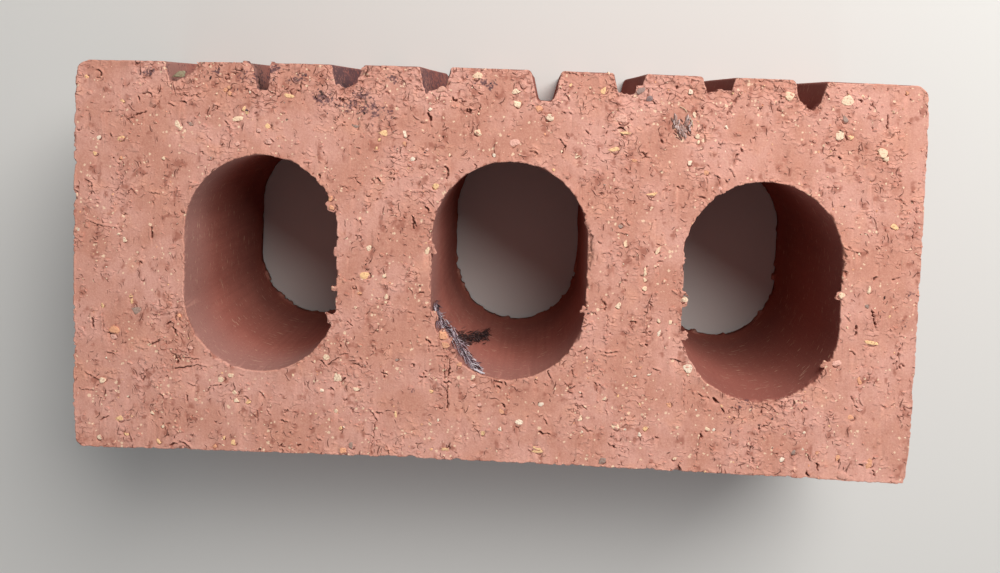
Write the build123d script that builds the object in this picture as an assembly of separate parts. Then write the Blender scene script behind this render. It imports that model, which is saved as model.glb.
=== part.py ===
from build123d import *
import math
import os

# A perforated clay brick, pushed through a die as a column and cut off it by wires.
# X runs along the length, Y across the width and Z up from the bed it lies on.
# The grooved stretcher face is at +Y. The origin is the middle of the lower bed.
# All sizes are in millimetres.

# Column section
LENGTH = 220.0
WIDTH = 104.0
FACE_BOW = 1.0

# Height of one cut, and the arris that the wire leaves eased round both beds
HEIGHT = 65.0
ARRIS = 0.4

# The headers fall away towards the vertical corners, where the die drags the clay most
HEADER_FALL = 0.9
HEADER_FALL_RUN = 12.0

# Vertical corners, each worn its own way
BACK_LEFT_RADIUS = 3.5
BACK_RIGHT_RADIUS = 3.0
FRONT_LEFT_RADIUS = 2.5
FRONT_RIGHT_RADIUS = 1.5

# Perforations with round ends, left by the die's core bars, which have drifted a little
HOLE_WIDTH = 40.0
HOLE_LENGTH = 56.8
LEFT_SHELL = 29.8
RIGHT_SHELL = 19.9
HOLE_DRIFTS = (-0.9, -0.3, -3.2)

# Keys for mortar in the back face: two even groups of grooves that narrow inwards
KEY_MOUTH = 7.8
KEY_FLOOR = 4.0
KEY_DEPTH = 7.8
KEY_FLOOR_RADIUS = 0.8
KEY_LIP_RADIUS = 0.8
KEYS_PER_GROUP = 4
KEY_GROUP_GAP = 28.6
LEFT_KEY_MARGIN = 28.0
RIGHT_KEY_MARGIN = 30.4
KEY_DRIFTS = (0.1, -0.9, -0.9, -0.1, -0.2, -1.0, -0.5, 0.4)

# Clay that the cutting wire dragged into the keys at the upper bed: for each key from the left,
# its front line as shares of the half mouth across and of the depth up from the floor
DRAGGED_THICKNESS = 4.0
DRAGGED_FRONTS = (
    ((-1.1, 0.33), (0.05, 0.35), (0.5, 0.51), (1.1, 0.78)),
    ((-1.1, 1.0), (-0.57, 1.0), (-0.33, 0.6), (-0.28, 0.12), (0.5, 0.06), (0.58, 0.6), (0.64, 1.0), (1.1, 1.0)),
    ((-1.1, 0.45), (-0.4, 0.3), (0.15, 0.25), (0.45, 0.3), (1.1, 0.45)),
    ((-1.1, 0.38), (-0.5, 0.09), (0.13, 0.28), (1.1, 0.3)),
    (),
    ((-1.1, 0.4), (-0.2, 0.28), (0.35, 0.28), (0.42, 0.55), (1.1, 0.64)),
    ((-1.1, 0.38), (-0.7, 0.43), (-0.1, 0.56), (0.62, 0.53), (1.1, 0.62)),
    ((-1.1, 0.5), (-0.35, 0.2), (0.25, 0.04), (0.7, 0.25), (1.1, 0.6)),
)

# Chips out of the upper bed's edges, by how deep each ball-shaped bite goes: at both lips
# of each key from the left, along the front face, and at the middle perforation's right rim
LEFT_LIP_BITES = (0.0, 0.0, 1.6, 0.0, 0.0, 0.0, 0.0, 1.0)
RIGHT_LIP_BITES = (1.8, 0.8, 2.4, 0.0, 0.0, 0.0, 0.0, 0.0)
FRONT_BITES = (0.95, 0.6)
FRONT_BITE_SHARES = (-0.73, -0.235)
RIM_BITE = 1.4
RIM_BITE_SHARE = 0.22
LIP_BITE_SPREAD = 2.7
FRONT_BITE_SPREAD = 5.2
RIM_BITE_SPREAD = 14.3

NODE = "clay_brick"

# Worked out from the sizes above
END_X = LENGTH / 2
CORNER_X = END_X - HEADER_FALL
CREST_Y = WIDTH / 2
SHOULDER_Y = CREST_Y - HEADER_FALL_RUN
HOLE_COUNT = len(HOLE_DRIFTS)
WEB = (LENGTH - LEFT_SHELL - RIGHT_SHELL - HOLE_COUNT * HOLE_WIDTH) / (HOLE_COUNT - 1)
KEY_SPAN = LENGTH - LEFT_KEY_MARGIN - RIGHT_KEY_MARGIN
KEY_PITCH = (KEY_SPAN - KEY_GROUP_GAP) / (2 * (KEYS_PER_GROUP - 1))
BOW_RADIUS = (CORNER_X**2 + FACE_BOW**2) / (2 * FACE_BOW)


def back_face_y(x):
    """Y of the bowed back face at a place along the length."""
    return CREST_Y - BOW_RADIUS + math.sqrt(BOW_RADIUS**2 - x**2)


def hole_centres():
    """Centres of the perforations, from the left header to the right one."""
    first_x = -END_X + LEFT_SHELL + HOLE_WIDTH / 2
    step = HOLE_WIDTH + WEB
    return [(first_x + index * step, drift) for index, drift in enumerate(HOLE_DRIFTS)]


def key_centres():
    """Places of the keys along the back face: a group from each end, with a wider gap between."""
    left = [-END_X + LEFT_KEY_MARGIN + index * KEY_PITCH for index in range(KEYS_PER_GROUP)]
    right = [left[-1] + KEY_GROUP_GAP + index * KEY_PITCH for index in range(KEYS_PER_GROUP)]
    return [place + drift for place, drift in zip(left + right, KEY_DRIFTS)]


def round_corner(sketch, place, radius):
    """The sketch with its corner nearest a place rounded."""
    corner = sketch.vertices().sort_by_distance(place)[0]
    return fillet(corner, radius)


def column_outline():
    """Column without its keys: both long faces bowed to the back, headers that fall away."""
    front_y = -CREST_Y
    back_corner_y = CREST_Y - FACE_BOW
    front_left = (-CORNER_X, front_y)
    front_right = (CORNER_X, front_y)
    back_left = (-CORNER_X, back_corner_y)
    back_right = (CORNER_X, back_corner_y)
    front = ThreePointArc(front_left, (0, front_y + FACE_BOW), front_right)
    right = Polyline(front_right, (END_X, -SHOULDER_Y), (END_X, SHOULDER_Y), back_right)
    back = ThreePointArc(back_right, (0, CREST_Y), back_left)
    left = Polyline(back_left, (-END_X, SHOULDER_Y), (-END_X, -SHOULDER_Y), front_left)
    outline = make_face(front + right + back + left)
    outline = round_corner(outline, back_left, BACK_LEFT_RADIUS)
    outline = round_corner(outline, back_right, BACK_RIGHT_RADIUS)
    outline = round_corner(outline, front_left, FRONT_LEFT_RADIUS)
    return round_corner(outline, front_right, FRONT_RIGHT_RADIUS)


def cut_key(section, x):
    """The section with one key taken out of its back face, its floor and lips rounded."""
    face_y = back_face_y(x)
    floor_y = face_y - KEY_DEPTH
    beyond = KEY_DEPTH / 2
    flare = (KEY_MOUTH - KEY_FLOOR) / 2 / KEY_DEPTH
    outer_half = KEY_MOUTH / 2 + flare * beyond
    left_floor = (x - KEY_FLOOR / 2, floor_y)
    right_floor = (x + KEY_FLOOR / 2, floor_y)
    right_outer = (x + outer_half, face_y + beyond)
    left_outer = (x - outer_half, face_y + beyond)
    section -= make_face(Polyline(left_floor, right_floor, right_outer, left_outer, close=True))
    section = round_corner(section, left_floor, KEY_FLOOR_RADIUS)
    section = round_corner(section, right_floor, KEY_FLOOR_RADIUS)
    section = round_corner(section, (x - KEY_MOUTH / 2, face_y), KEY_LIP_RADIUS)
    return round_corner(section, (x + KEY_MOUTH / 2, face_y), KEY_LIP_RADIUS)


def dragged_clay(x, front):
    """Clay across one key just under the upper bed, from inside its floor out to its front line."""
    floor_y = back_face_y(x) - KEY_DEPTH
    line = [(x + across * KEY_MOUTH / 2, floor_y + up * KEY_DEPTH) for across, up in front]
    root_y = floor_y - KEY_FLOOR / 2
    face = make_face(Polyline(*line, (line[-1][0], root_y), (line[0][0], root_y), close=True))
    return Pos(0, 0, HEIGHT - DRAGGED_THICKNESS) * extrude(face & column_outline(), DRAGGED_THICKNESS)


def bite(edge_x, edge_y, outward, depth, spread):
    """Ball that takes a chip out of the upper bed's edge, sunk in from outside and above."""
    radius = spread * depth
    away = (radius - depth) / math.sqrt(2)
    out = Vector(*outward).normalized() * away
    return Pos(edge_x + out.X, edge_y + out.Y, HEIGHT + away) * Sphere(radius)


def chips():
    """Every chip's bite, at the key lips, along the front face and at the middle perforation."""
    for side, bites in ((-1, LEFT_LIP_BITES), (1, RIGHT_LIP_BITES)):
        for centre, depth in zip(key_centres(), bites):
            lip_x = centre + side * KEY_MOUTH / 2
            if depth > 0:
                yield bite(lip_x, back_face_y(lip_x), (-side, 1), depth, LIP_BITE_SPREAD)
    for share, depth in zip(FRONT_BITE_SHARES, FRONT_BITES):
        edge_x = share * END_X
        front_y = back_face_y(edge_x) - WIDTH + FACE_BOW
        yield bite(edge_x, front_y, (0, -1), depth, FRONT_BITE_SPREAD)
    hole_x, hole_y = hole_centres()[HOLE_COUNT // 2]
    rim_y = hole_y + RIM_BITE_SHARE * HOLE_LENGTH / 2
    yield bite(hole_x + HOLE_WIDTH / 2, rim_y, (-1, 0), RIM_BITE, RIM_BITE_SPREAD)


def clay_brick():
    """One cut of the column: arrises eased, perforations taken through, upper edges dragged and chipped."""
    section = column_outline()
    for x in key_centres():
        section = cut_key(section, x)
    brick = extrude(section, HEIGHT)
    beds = brick.faces().filter_by(Axis.Z)
    brick = chamfer(beds.edges(), ARRIS)
    for x, front in zip(key_centres(), DRAGGED_FRONTS):
        if front:
            brick += dragged_clay(x, front)
    perforation = SlotOverall(HOLE_LENGTH, HOLE_WIDTH, rotation=90)
    for centre in hole_centres():
        brick -= extrude(Pos(*centre) * perforation, HEIGHT)
    for chip in chips():
        brick -= chip
    return brick


def main():
    """Write the brick as one solid."""
    os.makedirs("parts", exist_ok=True)
    export_step(clay_brick(), os.path.join("parts", NODE + ".step"))


main()
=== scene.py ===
"""Looks of a perforated, wire-cut clay brick: torn beds, die-drawn faces, grit and dirt.

The brick is one closed mesh, made from the distances to its own section, so that chips,
clay dragged over the keys and ragged rims are real shape. Grit, crumbs of clay, soil and
scraps of plant are pieces of their own. Lengths are in millimetres until a mesh is made.
"""
import itertools
import logging
import math
from collections.abc import Callable, Iterable
from dataclasses import dataclass, field
from enum import Enum

import bmesh
import bpy
import numpy as np
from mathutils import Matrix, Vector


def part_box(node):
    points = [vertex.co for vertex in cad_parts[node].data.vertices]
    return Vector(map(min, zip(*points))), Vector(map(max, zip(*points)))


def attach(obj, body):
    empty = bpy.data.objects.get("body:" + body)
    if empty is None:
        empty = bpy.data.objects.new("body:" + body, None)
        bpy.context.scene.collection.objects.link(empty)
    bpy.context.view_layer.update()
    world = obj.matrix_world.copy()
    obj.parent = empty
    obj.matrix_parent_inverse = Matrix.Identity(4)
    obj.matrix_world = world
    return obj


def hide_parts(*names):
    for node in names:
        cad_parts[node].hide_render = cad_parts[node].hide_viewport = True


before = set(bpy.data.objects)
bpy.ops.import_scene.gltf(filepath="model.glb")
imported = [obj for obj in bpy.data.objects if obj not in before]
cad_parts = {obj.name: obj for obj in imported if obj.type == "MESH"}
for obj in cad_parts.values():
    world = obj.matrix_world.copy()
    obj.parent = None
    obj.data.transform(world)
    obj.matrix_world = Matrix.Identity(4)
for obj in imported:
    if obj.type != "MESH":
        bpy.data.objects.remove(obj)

import openvdb
from mathutils import Euler, Vector

log = logging.getLogger("clay_brick")
MM = 0.001
NODE = "clay_brick"
SLOT = "fired_clay"
BODY = "root"
Array = np.ndarray
Rng = np.random.Generator
Socket = bpy.types.NodeSocket
Triple = tuple[float, float, float]
Colour = Triple
Place = tuple[float, float]
Limits = tuple[Array, Array]


def linear(step: int) -> float:
    """Linear strength of a display step of 0 to 255."""
    share = step / 255
    return share / 12.92 if share <= 0.04045 else ((share + 0.055) / 1.055) ** 2.4


def srgb(red: int, green: int, blue: int) -> Colour:
    """Linear colour of a display colour given in steps of 0 to 255."""
    return linear(red), linear(green), linear(blue)


@dataclass(frozen=True)
class PhotoCamera:
    """A camera worked out from the photograph, in its pixels and in millimetres from the lower bed."""

    focal: float
    middle: Place
    turn: Triple
    place: Triple

    @property
    def axes(self) -> Array:
        """The camera's own axes, one in each column."""
        return np.array(Euler(self.turn, "XYZ").to_matrix())

    def pixel(self, x: float, y: float, z: float) -> Place:
        """Pixel at which the camera sees a place.

        Args:
            x: Place along the length.
            y: Place across the width.
            z: Height over the lower bed.

        Returns:
            The pixel's column and row.
        """
        right, up, back = (np.array((x, y, z)) - self.place) @ self.axes
        return self.middle[0] - self.focal * right / back, self.middle[1] + self.focal * up / back

    def on_level(self, pixel: Place, z: float) -> Place:
        """Place on a level plane that the camera sees at a pixel.

        Args:
            pixel: The pixel's column and row.
            z: Height of the plane over the lower bed.

        Returns:
            The place along and across.
        """
        right = (pixel[0] - self.middle[0]) / self.focal
        down = (pixel[1] - self.middle[1]) / self.focal
        ray = self.axes @ np.array((right, -down, -1.0))
        reach = (z - self.place[2]) / ray[2]
        return float(self.place[0] + reach * ray[0]), float(self.place[1] + reach * ray[1])


# The marks on the upper bed are given as the first camera saw them, before the last one was solved
FIRST_CAMERA = PhotoCamera(
    864.605621, (529.641467, 136.486764), (-0.042155574, 0.014253442, 0.033779013),
    (10.77106, 45.291258, 288.508924),
)
SOLVED_CAMERA = PhotoCamera(
    877.1314, (515.8267, 148.6711), (-0.0576426, 0.0359467, 0.0322292), (13.4334, 44.8592, 289.3289)
)


class Grit(Enum):
    """Kinds of grain in the clay, with their colours."""

    CREAM = srgb(252, 220, 187)
    WHITE = srgb(252, 231, 207)
    YELLOW = srgb(252, 206, 154)
    ORANGE = srgb(240, 174, 136)
    PINK = srgb(238, 182, 164)
    GREY = srgb(170, 144, 132)


# Grains that can be told apart, as the first camera saw them: place and size, each along and across
GRAINS: dict[Grit, tuple[tuple[float, float, float, float], ...]] = {
    Grit.CREAM: (
        (51.3, 37.3, 1.3, 1.6), (51.5, 35.7, .9, 1), (50.2, 43, .8, 1.6), (-84, 35.5, 2.6, 2.3),
        (-68.3, 37.9, 2.3, 1.7), (-97.4, 4.9, 1.4, 1.4), (-87.4, 27, 1.1, 1.1), (-6.5, 51.1, 2.5, 1.9),
        (-5.4, 36.3, 1.6, 2), (-12.7, 30.2, .8, .8), (-33.4, 5.3, 1.5, 1.5), (-17.8, 5.3, 1.4, 2),
        (4, 47.5, 2.2, 1.5), (4.3, 44, 2, 2), (12.8, 40.9, 2, 1.8), (20.4, 31.3, 1.6, 2),
        (33.8, 8.8, 1.3, 2.2), (42.3, 7.2, .8, 2.5), (39.2, 1.8, .8, 3), (74, 48.8, 2.6, 2.2),
        (89.5, 48.2, 2.8, 2.5), (87.8, 38.6, 2.2, 2.2), (99, 34.7, 2, 2.4), (100.2, 33, 1.6, 1.4),
        (-71.2, -31.2, 1.7, 1.7), (-68.5, -29.8, 1.6, 1.1), (-67.5, -34.6, 1.5, 1.6),
        (-67.1, -36.4, 1.4, 1.5), (-102.5, -32.5, 1.4, 1.5), (-89.3, -40.8, 1, 1),
        (-103.5, -47.9, 1.6, 1.3), (-86.4, -44.2, 1, 1), (-28.2, -7.7, 1.2, 1.5), (-28.2, -9, .7, .7),
        (-43.8, -24, 1.6, 1.5), (-40.5, -29.4, 2.1, 2), (-35.5, -32.3, 1.3, 1.2), (-4.9, -28.1, 1.5, 1.5),
        (-40.5, -38.5, 1, 1), (32.5, -7.7, 1.3, 1.5), (49.6, -5.4, 1.6, 1.8), (43.3, -11.2, .8, 1.5),
        (46.2, -11.4, 1, 1), (29.8, -32.3, 1.5, 1.2), (23.5, -38.1, 1.2, 1.2), (33.1, -39.8, 2, 1.6),
        (48.8, -47.5, 1.7, .8), (56.9, -39.4, 1.2, 1.2), (90.3, -3.1, 1.7, 1.6), (97.4, -1.3, 1, 2.5),
        (-29, -2, 1, 1), (39.2, -0.6, 1.2, 1), (39.4, -2.9, 1.2, 1),
    ),
    Grit.WHITE: (
        (-104.5, 31.7, 1.2, 1), (-24.5, 35.1, 1.3, 2), (-22.2, 28.8, 1.4, 1), (-18.2, 42, 1, 1),
        (-1.2, 30.6, .9, .9), (49, 48.6, 1.1, 1.1), (49.6, 30.2, 1.1, 1.5), (58.6, 40, 1, 1),
        (-44.5, -32.9, 1, 1), (-101.8, -26.5, .6, .6), (-95.9, -36.6, .6, .6), (-13.6, -39.8, .7, .7),
        (51.2, -23.3, 2.1, 2.2), (13.3, -34.4, 1.3, 1.1), (7.3, -39.8, 2.2, 1.5), (2.7, -41.5, .8, 1.2),
        (39.2, -41.5, 1.1, 1.1), (76.8, -46.7, 1.4, 1.1), (82.4, -39.2, .7, .7), (58.8, -39.4, .9, .8),
        (43.3, -14.5, 1.1, 1.9), (37.5, -26, 1, .5), (41.2, -25.5, 1, .5),
    ),
    Grit.YELLOW: (
        (-108, 47.5, 1, 1), (-98.5, 41.3, .9, .9), (-99.1, 31.3, 1.4, 1.6), (-98.2, 32, 1, 1),
        (-105.4, 27.4, 1.2, 1.2), (-66.6, 40.3, 1.2, 1.1), (-65.8, 39.6, 1, .9), (-60.2, 36.1, 1.3, 1.3),
        (-55.1, 44.2, 2.5, 1), (-30.3, 35.3, 2, 1.6), (-31.1, 33.6, .8, .8), (-31.9, 31.4, .9, .8),
        (-15.9, 21.8, 1.7, 1.5), (26.5, 48.2, 2, 1.8), (32.5, 37.6, 2.5, .8), (30, 33, 3, 1.2),
        (40.2, 21.8, 2.5, .8), (103, 15.7, 2, 1.4), (90.7, 38.4, 1.5, 1.2), (-95.8, -9.8, 1.2, 1.2),
        (-95.2, -11, .8, 1.4), (-103.1, -12.5, .8, 1.4), (-97.9, -42.5, 2.3, 1.7), (-96.2, -46.7, 1.3, .8),
        (-87.7, -48.3, 1.3, 1.7), (-67.7, -48, 1.6, 1.4), (-70.2, -46.7, .9, .8), (-63.9, -36.7, 1.3, 1.2),
        (-15.9, -32.3, 1, 1), (-1.8, -42.9, 1.2, 1.2), (-24.9, -38.5, .6, 1.6), (-11.5, -47.5, 2.3, 1.3),
        (-39.3, -42.9, 1, 1), (40.8, -39.8, 1.6, 1.4), (12.5, -46.2, 3, 1.1), (12.9, -47.2, 2.4, .6),
        (98.4, -14.8, 4, .9), (-33.8, -2.1, 2.4, 1.6),
    ),
    Grit.ORANGE: (
        (-98.6, 26.5, 1, 1), (-71.4, 45.2, 1, 1), (-70.2, 44.4, 1, 1), (-70.6, 46, .9, .9),
        (-24.7, 32.8, 1.2, 1.2), (-43.6, 17.7, 1.3, 1.5), (-43.1, 15.4, 1.6, 1.4), (10.2, 42.8, 2, 1.6),
        (54.2, 28, 1.3, 1.3), (35.1, 30.5, 1.5, .7), (104.5, 50.2, 1.1, .9), (-100, -19, 2.3, 1.9),
        (-82.7, -14.6, 1, 1), (-35.3, -6.7, 1, 1), (-12.8, -17.1, 2.3, 2), (-12.4, -19.6, 1.7, 1.6),
        (-8.6, -24.8, 1.5, .8), (-38.8, -48.8, 2.4, 1.8), (2.7, -36.9, 1.5, 1.3), (46.7, -33.3, 1.7, 1.3),
        (96.1, -25.4, 1.2, 2), (94.3, -35, 2, 1.3), (99.7, -47, 1.6, 2.6), (91.5, -45.6, .9, 1.6),
        (-72.5, -49, 1, .9),
    ),
    Grit.PINK: (
        (-68.4, 31.1, 1.3, 1.2), (-60.4, 32.2, 2, 1.8), (-62.7, 35.1, 1.3, 1.3), (-18.6, 31.5, .9, .8),
        (3.8, 33.8, 2.4, 2), (-80, -22.9, 1.6, 1.4), (-4.7, -30.2, 1.5, 1.2), (-2.8, -35.4, 1.1, 1),
        (89.7, -20.4, 2.3, 2), (-100, -20.8, 2, 1.2), (96.5, -32.7, 1.3, .9), (32, 41, 3.2, 2.4),
    ),
    Grit.GREY: (
        (-75.2, 27.2, 1.3, 1.2), (-37.3, 36.8, 1.8, 1.3), (32.3, 13.2, 1.3, 1), (-94.3, -13.5, 2.2, 1.9),
        (-25.1, -24.2, 1, .9), (-36.5, -47.7, 1.3, 1.8), (29.8, -48.8, 1.9, 1.3), (79.9, -44.6, .9, 2),
        (97, -5.4, 1, 1), (-80.5, 36.1, 1, 1), (89, 42.8, 1.4, 2.2),
    ),
}

# Torn marks on the upper bed, read with it too: half width, then the points that each runs through
TEARS = (
    (.3, (-92.3, 38.7), (-94.5, 38.2), (-97.3, 36.3)), (.5, (-94.3, 42.6), (-94, 41.4)),
    (.22, (-98.5, 47), (-98.3, 45.2)), (.2, (-103.4, 38.6), (-101.3, 38.4), (-100.4, 40.2)),
    (.15, (-93.5, 26), (-93.7, 22.5)), (.18, (-107, 9.5), (-103, 8.4), (-99, 8)),
    (.4, (-90.4, 8.6), (-90.3, 5.8)), (.2, (-96.8, 17.6), (-95.6, 18.6), (-94.4, 17)),
    (.18, (-91.4, 17.7), (-88.4, 17.4)), (.15, (-89.9, 17.4), (-89.8, 14.8)),
    (.2, (-80.6, 21), (-79.4, 20), (-80.4, 18.7)), (.25, (-27, 26.4), (-27.1, 23.2)),
    (.25, (-38.6, 23.2), (-37.2, 23.6), (-36.2, 22)), (.4, (-21.8, 13.8), (-21.6, 10.8)),
    (.45, (-18.6, 16.4), (-17.4, 15)), (.16, (-22, 20.2), (-16, 20.3)),
    (.14, (-16.7, 20.1), (-16.7, 17.2)), (.25, (15.8, 35.4), (17.2, 33.4), (16.6, 31.5)),
    (.35, (30.4, 38.6), (33.6, 38.9)), (.35, (37, 32.6), (38.8, 31.2)), (.25, (37.4, 31), (38.6, 32.8)),
    (.16, (54.2, 27), (54.2, 23)), (.2, (56.3, 27.4), (57.4, 26.6), (57.2, 24.8)),
    (.22, (16, 42.3), (18.4, 42.1)), (.22, (53, 39.6), (53.3, 35.6)), (.5, (99.9, 44.2), (99.9, 41)),
    (.35, (89.2, 40.2), (89.6, 37.4)), (.18, (108.4, 20.5), (108, 16), (107.8, 11)),
    (.2, (89.3, 10.3), (91.4, 9.2), (94.3, 8.4)), (.14, (69.4, 32), (69.5, 26.3)),
    (.55, (-18.6, 40.9), (-17.8, 39.3)), (.16, (-17.9, 39.3), (-17.6, 37.4)),
    (.14, (-58.2, 48.8), (-58.4, 43)), (.2, (-83.5, 43.6), (-80.6, 43.2), (-78.2, 43.9)),
    (.2, (-86.5, 41), (-84.6, 40.6)), (.3, (-83.6, 42), (-81.8, 41.4)),
    (.22, (-103.1, -14.6), (-102.9, -17), (-102.5, -19.7)), (.25, (-101.9, -19.6), (-99.4, -20.3)),
    (.4, (-105.6, -15.8), (-105.4, -18.4)), (.22, (-101.6, -25.1), (-99.6, -25.4)),
    (.32, (-90.4, -22.9), (-88.6, -21.8), (-86.8, -21.2)), (.14, (-89.6, -21.9), (-92.4, -21.6)),
    (.5, (-86.3, -17.2), (-85, -16.3)), (.45, (-84, -18), (-83, -19.8)),
    (.25, (-83.4, -25.9), (-80.6, -25.6), (-77.6, -25.9)),
    (.3, (-83.5, -28.7), (-80.8, -28.2), (-78, -27.7)), (.16, (-77.8, -27.4), (-75, -27.9)),
    (.25, (-107.4, -30.6), (-105.6, -31.6), (-103.4, -32.6)),
    (.22, (-103.8, -33.4), (-104.9, -35.2), (-108.2, -35.5)),
    (.25, (-92.6, -31), (-92, -32.2), (-91.4, -31.3)), (.16, (-79.8, -32.3), (-78, -33.2)),
    (.25, (-75, -34.7), (-73.8, -33), (-71.2, -32.5)), (.3, (-80.4, -35), (-80.3, -37.4)),
    (.35, (-87, -35.6), (-86.4, -36.8)), (.3, (-103, -43.2), (-100.8, -42)),
    (.14, (-86.1, -38), (-86, -41.4)), (.18, (-61.4, -38.8), (-61.3, -42.4)),
    (.18, (-62.8, -40), (-61.6, -41)), (.4, (-84.4, -49.4), (-82, -48.2), (-79.2, -49.6)),
    (.25, (-60.8, -34), (-59.6, -35.4)), (.3, (-38.4, -14.2), (-37, -15.4)),
    (.22, (-37.8, -15.4), (-37.2, -14)), (.35, (-17.6, -18.6), (-16.4, -19)),
    (.15, (-16.9, -19), (-16.8, -21.8)), (.28, (-45, -25.2), (-43.4, -26.6), (-42.2, -25.4)),
    (.35, (-39.6, -30.6), (-38.6, -29.6)), (.2, (-40, -23.4), (-37.6, -22.8)),
    (.25, (-36, -25.6), (-34.4, -26.2)), (.3, (-29, -27.6), (-27.4, -28.1)),
    (.22, (-28.3, -27), (-28.2, -29)), (.3, (-18.7, -28.5), (-17.3, -28.4)),
    (.3, (-14.6, -22.7), (-12, -22.6)), (.35, (-11.2, -23.4), (-11.2, -27.6)),
    (.2, (-12.6, -24.8), (-12.4, -29)), (.28, (-11.3, -28), (-11.5, -32), (-11.2, -36.4)),
    (.3, (-12.8, -29.6), (-10.4, -29.6)),
    (.24, (-31.8, -37.8), (-30, -40), (-30.6, -44.4), (-31.3, -49.4)), (.3, (-30, -38.4), (-28.6, -38.6)),
    (.13, (-45.3, -44.8), (-45.3, -48.4)), (.35, (-55.2, -41.3), (-53.6, -42)),
    (.14, (-6.3, -42), (-6.4, -46)), (.28, (-27, -47.4), (-26.4, -49.6)),
    (.3, (-54.6, -40), (-54.2, -40.4)), (.17, (29.8, -10), (29.7, -16.8)), (.25, (36, -11.6), (37.4, -12)),
    (.22, (39.4, -9), (39.9, -9.2), (40.1, -15.2)), (.2, (27.8, -19.7), (30.6, -20.3), (33.6, -19.6)),
    (.14, (28.4, -20.8), (32.4, -21)), (.25, (20.9, -23.6), (21.2, -26.2)),
    (.3, (14.8, -25.4), (15.3, -27.4)), (.25, (19.4, -28.6), (20.8, -30), (22, -29.4)),
    (.3, (27, -28.2), (28.5, -28.9)), (.4, (1, -29.6), (2.4, -30.6)), (.22, (3.2, -28.8), (4.2, -30)),
    (.15, (30.6, -33), (30.6, -37)), (.2, (24, -34.4), (25.2, -35.6)), (.3, (46.6, -21.2), (49.2, -21.6)),
    (.15, (50.4, -26.6), (50.5, -33.6)), (.2, (42.4, -24), (44, -24.4), (44, -25.8)),
    (.25, (14.6, -42.2), (16, -42.4)), (.15, (15.5, -42.4), (15.4, -45.8)),
    (.35, (31.2, -44.3), (33.4, -45.3)), (.4, (55.2, -40.4), (55.6, -41.8)),
    (.2, (55.2, -41.8), (54.4, -48)), (.22, (54.4, -30.4), (57, -31)), (.5, (49.8, -49.2), (50.4, -51)),
    (.38, (98.2, -6.3), (99.5, -10.6)), (.42, (94.6, -10.8), (94.4, -13)), (.2, (91.4, -8), (92.8, -9.6)),
    (.35, (105.9, -16.2), (105.7, -18.2)), (.25, (105.3, -19.6), (105.5, -21.6)),
    (.22, (93.2, -17.4), (94.6, -18.2)), (.22, (94.3, -29.6), (95.8, -32.4)),
    (.2, (101.8, -31.2), (103, -31.9)), (.28, (104.2, -31.7), (105.4, -30.8)),
    (.6, (58.2, -31.2), (59.6, -32.2)), (.25, (60.4, -33.6), (61.2, -35)),
    (.32, (79.4, -30.8), (79.5, -35.6)), (.35, (71, -31.8), (71.1, -34.4)),
    (.2, (73.4, -32.8), (75, -34.4)), (.18, (76.2, -31.4), (76.4, -34.2)), (.2, (68.4, -31), (68.8, -33)),
    (.25, (77.2, -37.6), (78.8, -38)), (.35, (86.2, -46.8), (86.5, -49)),
    (.25, (91.6, -45.4), (91.7, -47)), (.4, (83.2, -50), (84, -51)), (.35, (97, -47.3), (97.8, -47.4)),
    (.3, (100.6, -48.6), (101.2, -50.2)), (.35, (79.4, -45.4), (79.2, -46.4)),
    (.25, (87.4, -38.6), (86.8, -39.6)),
)


@dataclass(frozen=True)
class BedReadings:
    """What was read off the upper bed, moved from the first camera to the solved one."""

    height: float

    def place(self, x: float, y: float) -> Place:
        """Place on the bed that a reading stands for, to a tenth of a millimetre."""
        place = SOLVED_CAMERA.on_level(FIRST_CAMERA.pixel(x, y, self.height), self.height)
        return round(place[0], 1), round(place[1], 1)

    def tears(self) -> list[tuple[float, list[Place]]]:
        """Half width of each tear, and the points that it runs through."""
        return [(half_width, [self.place(*point) for point in points]) for half_width, *points in TEARS]

    def grains(self) -> list[tuple[Grit, Place, Place]]:
        """Kind, place and size of each grain, in the order of their kinds."""
        rows = [(kind, row) for kind, rows in GRAINS.items() for row in rows]
        return [(kind, self.place(*row[:2]), row[2:]) for kind, row in rows]


@dataclass(frozen=True)
class Bite:
    """Ball-shaped bite out of an edge of the upper bed, its middle outside the clay."""

    x: float
    y: float
    over: float
    radius: float


# Small chips that only show close up: place, way out of the clay, depth and spread
SMALL_CHIPS = (
    ((50.6, -51.2), (0, -1), 0.9, 2.2), ((31, -51.1), (0, -1), 0.5, 4),
    ((-110, 30), (-1, 0), 0.6, 9), ((-110, -16), (-1, 0), 0.5, 8),
    ((-110, 2), (-1, 0), 0.4, 8), ((110, -34), (1, 0), 0.5, 7),
    ((110, 22), (1, 0), 0.5, 9), ((-60, -51.3), (0, -1), 0.4, 6),
    ((84, -51.4), (0, -1), 0.4, 6), ((-6, -51), (0, -1), 0.4, 6),
)
# Stretches of rim that the wire left most ragged: place and reach
RAGGED_RIMS = (
    (-39.5, 14, 13), (-40.5, -12, 11), (25.5, 8, 10), (24.5, -14, 10), (49.5, -8, 13),
    (54, -22, 10), (84, -22, 12), (90, 4, 11), (-14.5, -6, 10), (-15, 12, 8),
    (-110, 20, 18), (-110, -20, 18), (-73, -26, 9), (70, -32, 10),
)
# Where the wire tore the upper bed most: place and reach
ROUGH_PATCHES = (
    (-79, 42, 11), (-60, 43, 10), (-36, 43, 9), (35, 37, 10), (31, 25, 8),
    (41, 23, 7), (61, 35, 8), (84, 37, 8), (75, -34, 9), (25, -23, 7),
    (-11, -29, 6), (60, -34, 6), (-80, -25, 5), (-97, -21, 5),
    (104, -11, 5), (-95, 17, 6), (-25, 27, 6), (35, 5, 6), (97, 12, 7),
    (98, 33, 8), (88, -37, 8), (97, -24, 6), (38, -14, 6), (-30, -12, 6),
)
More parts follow.
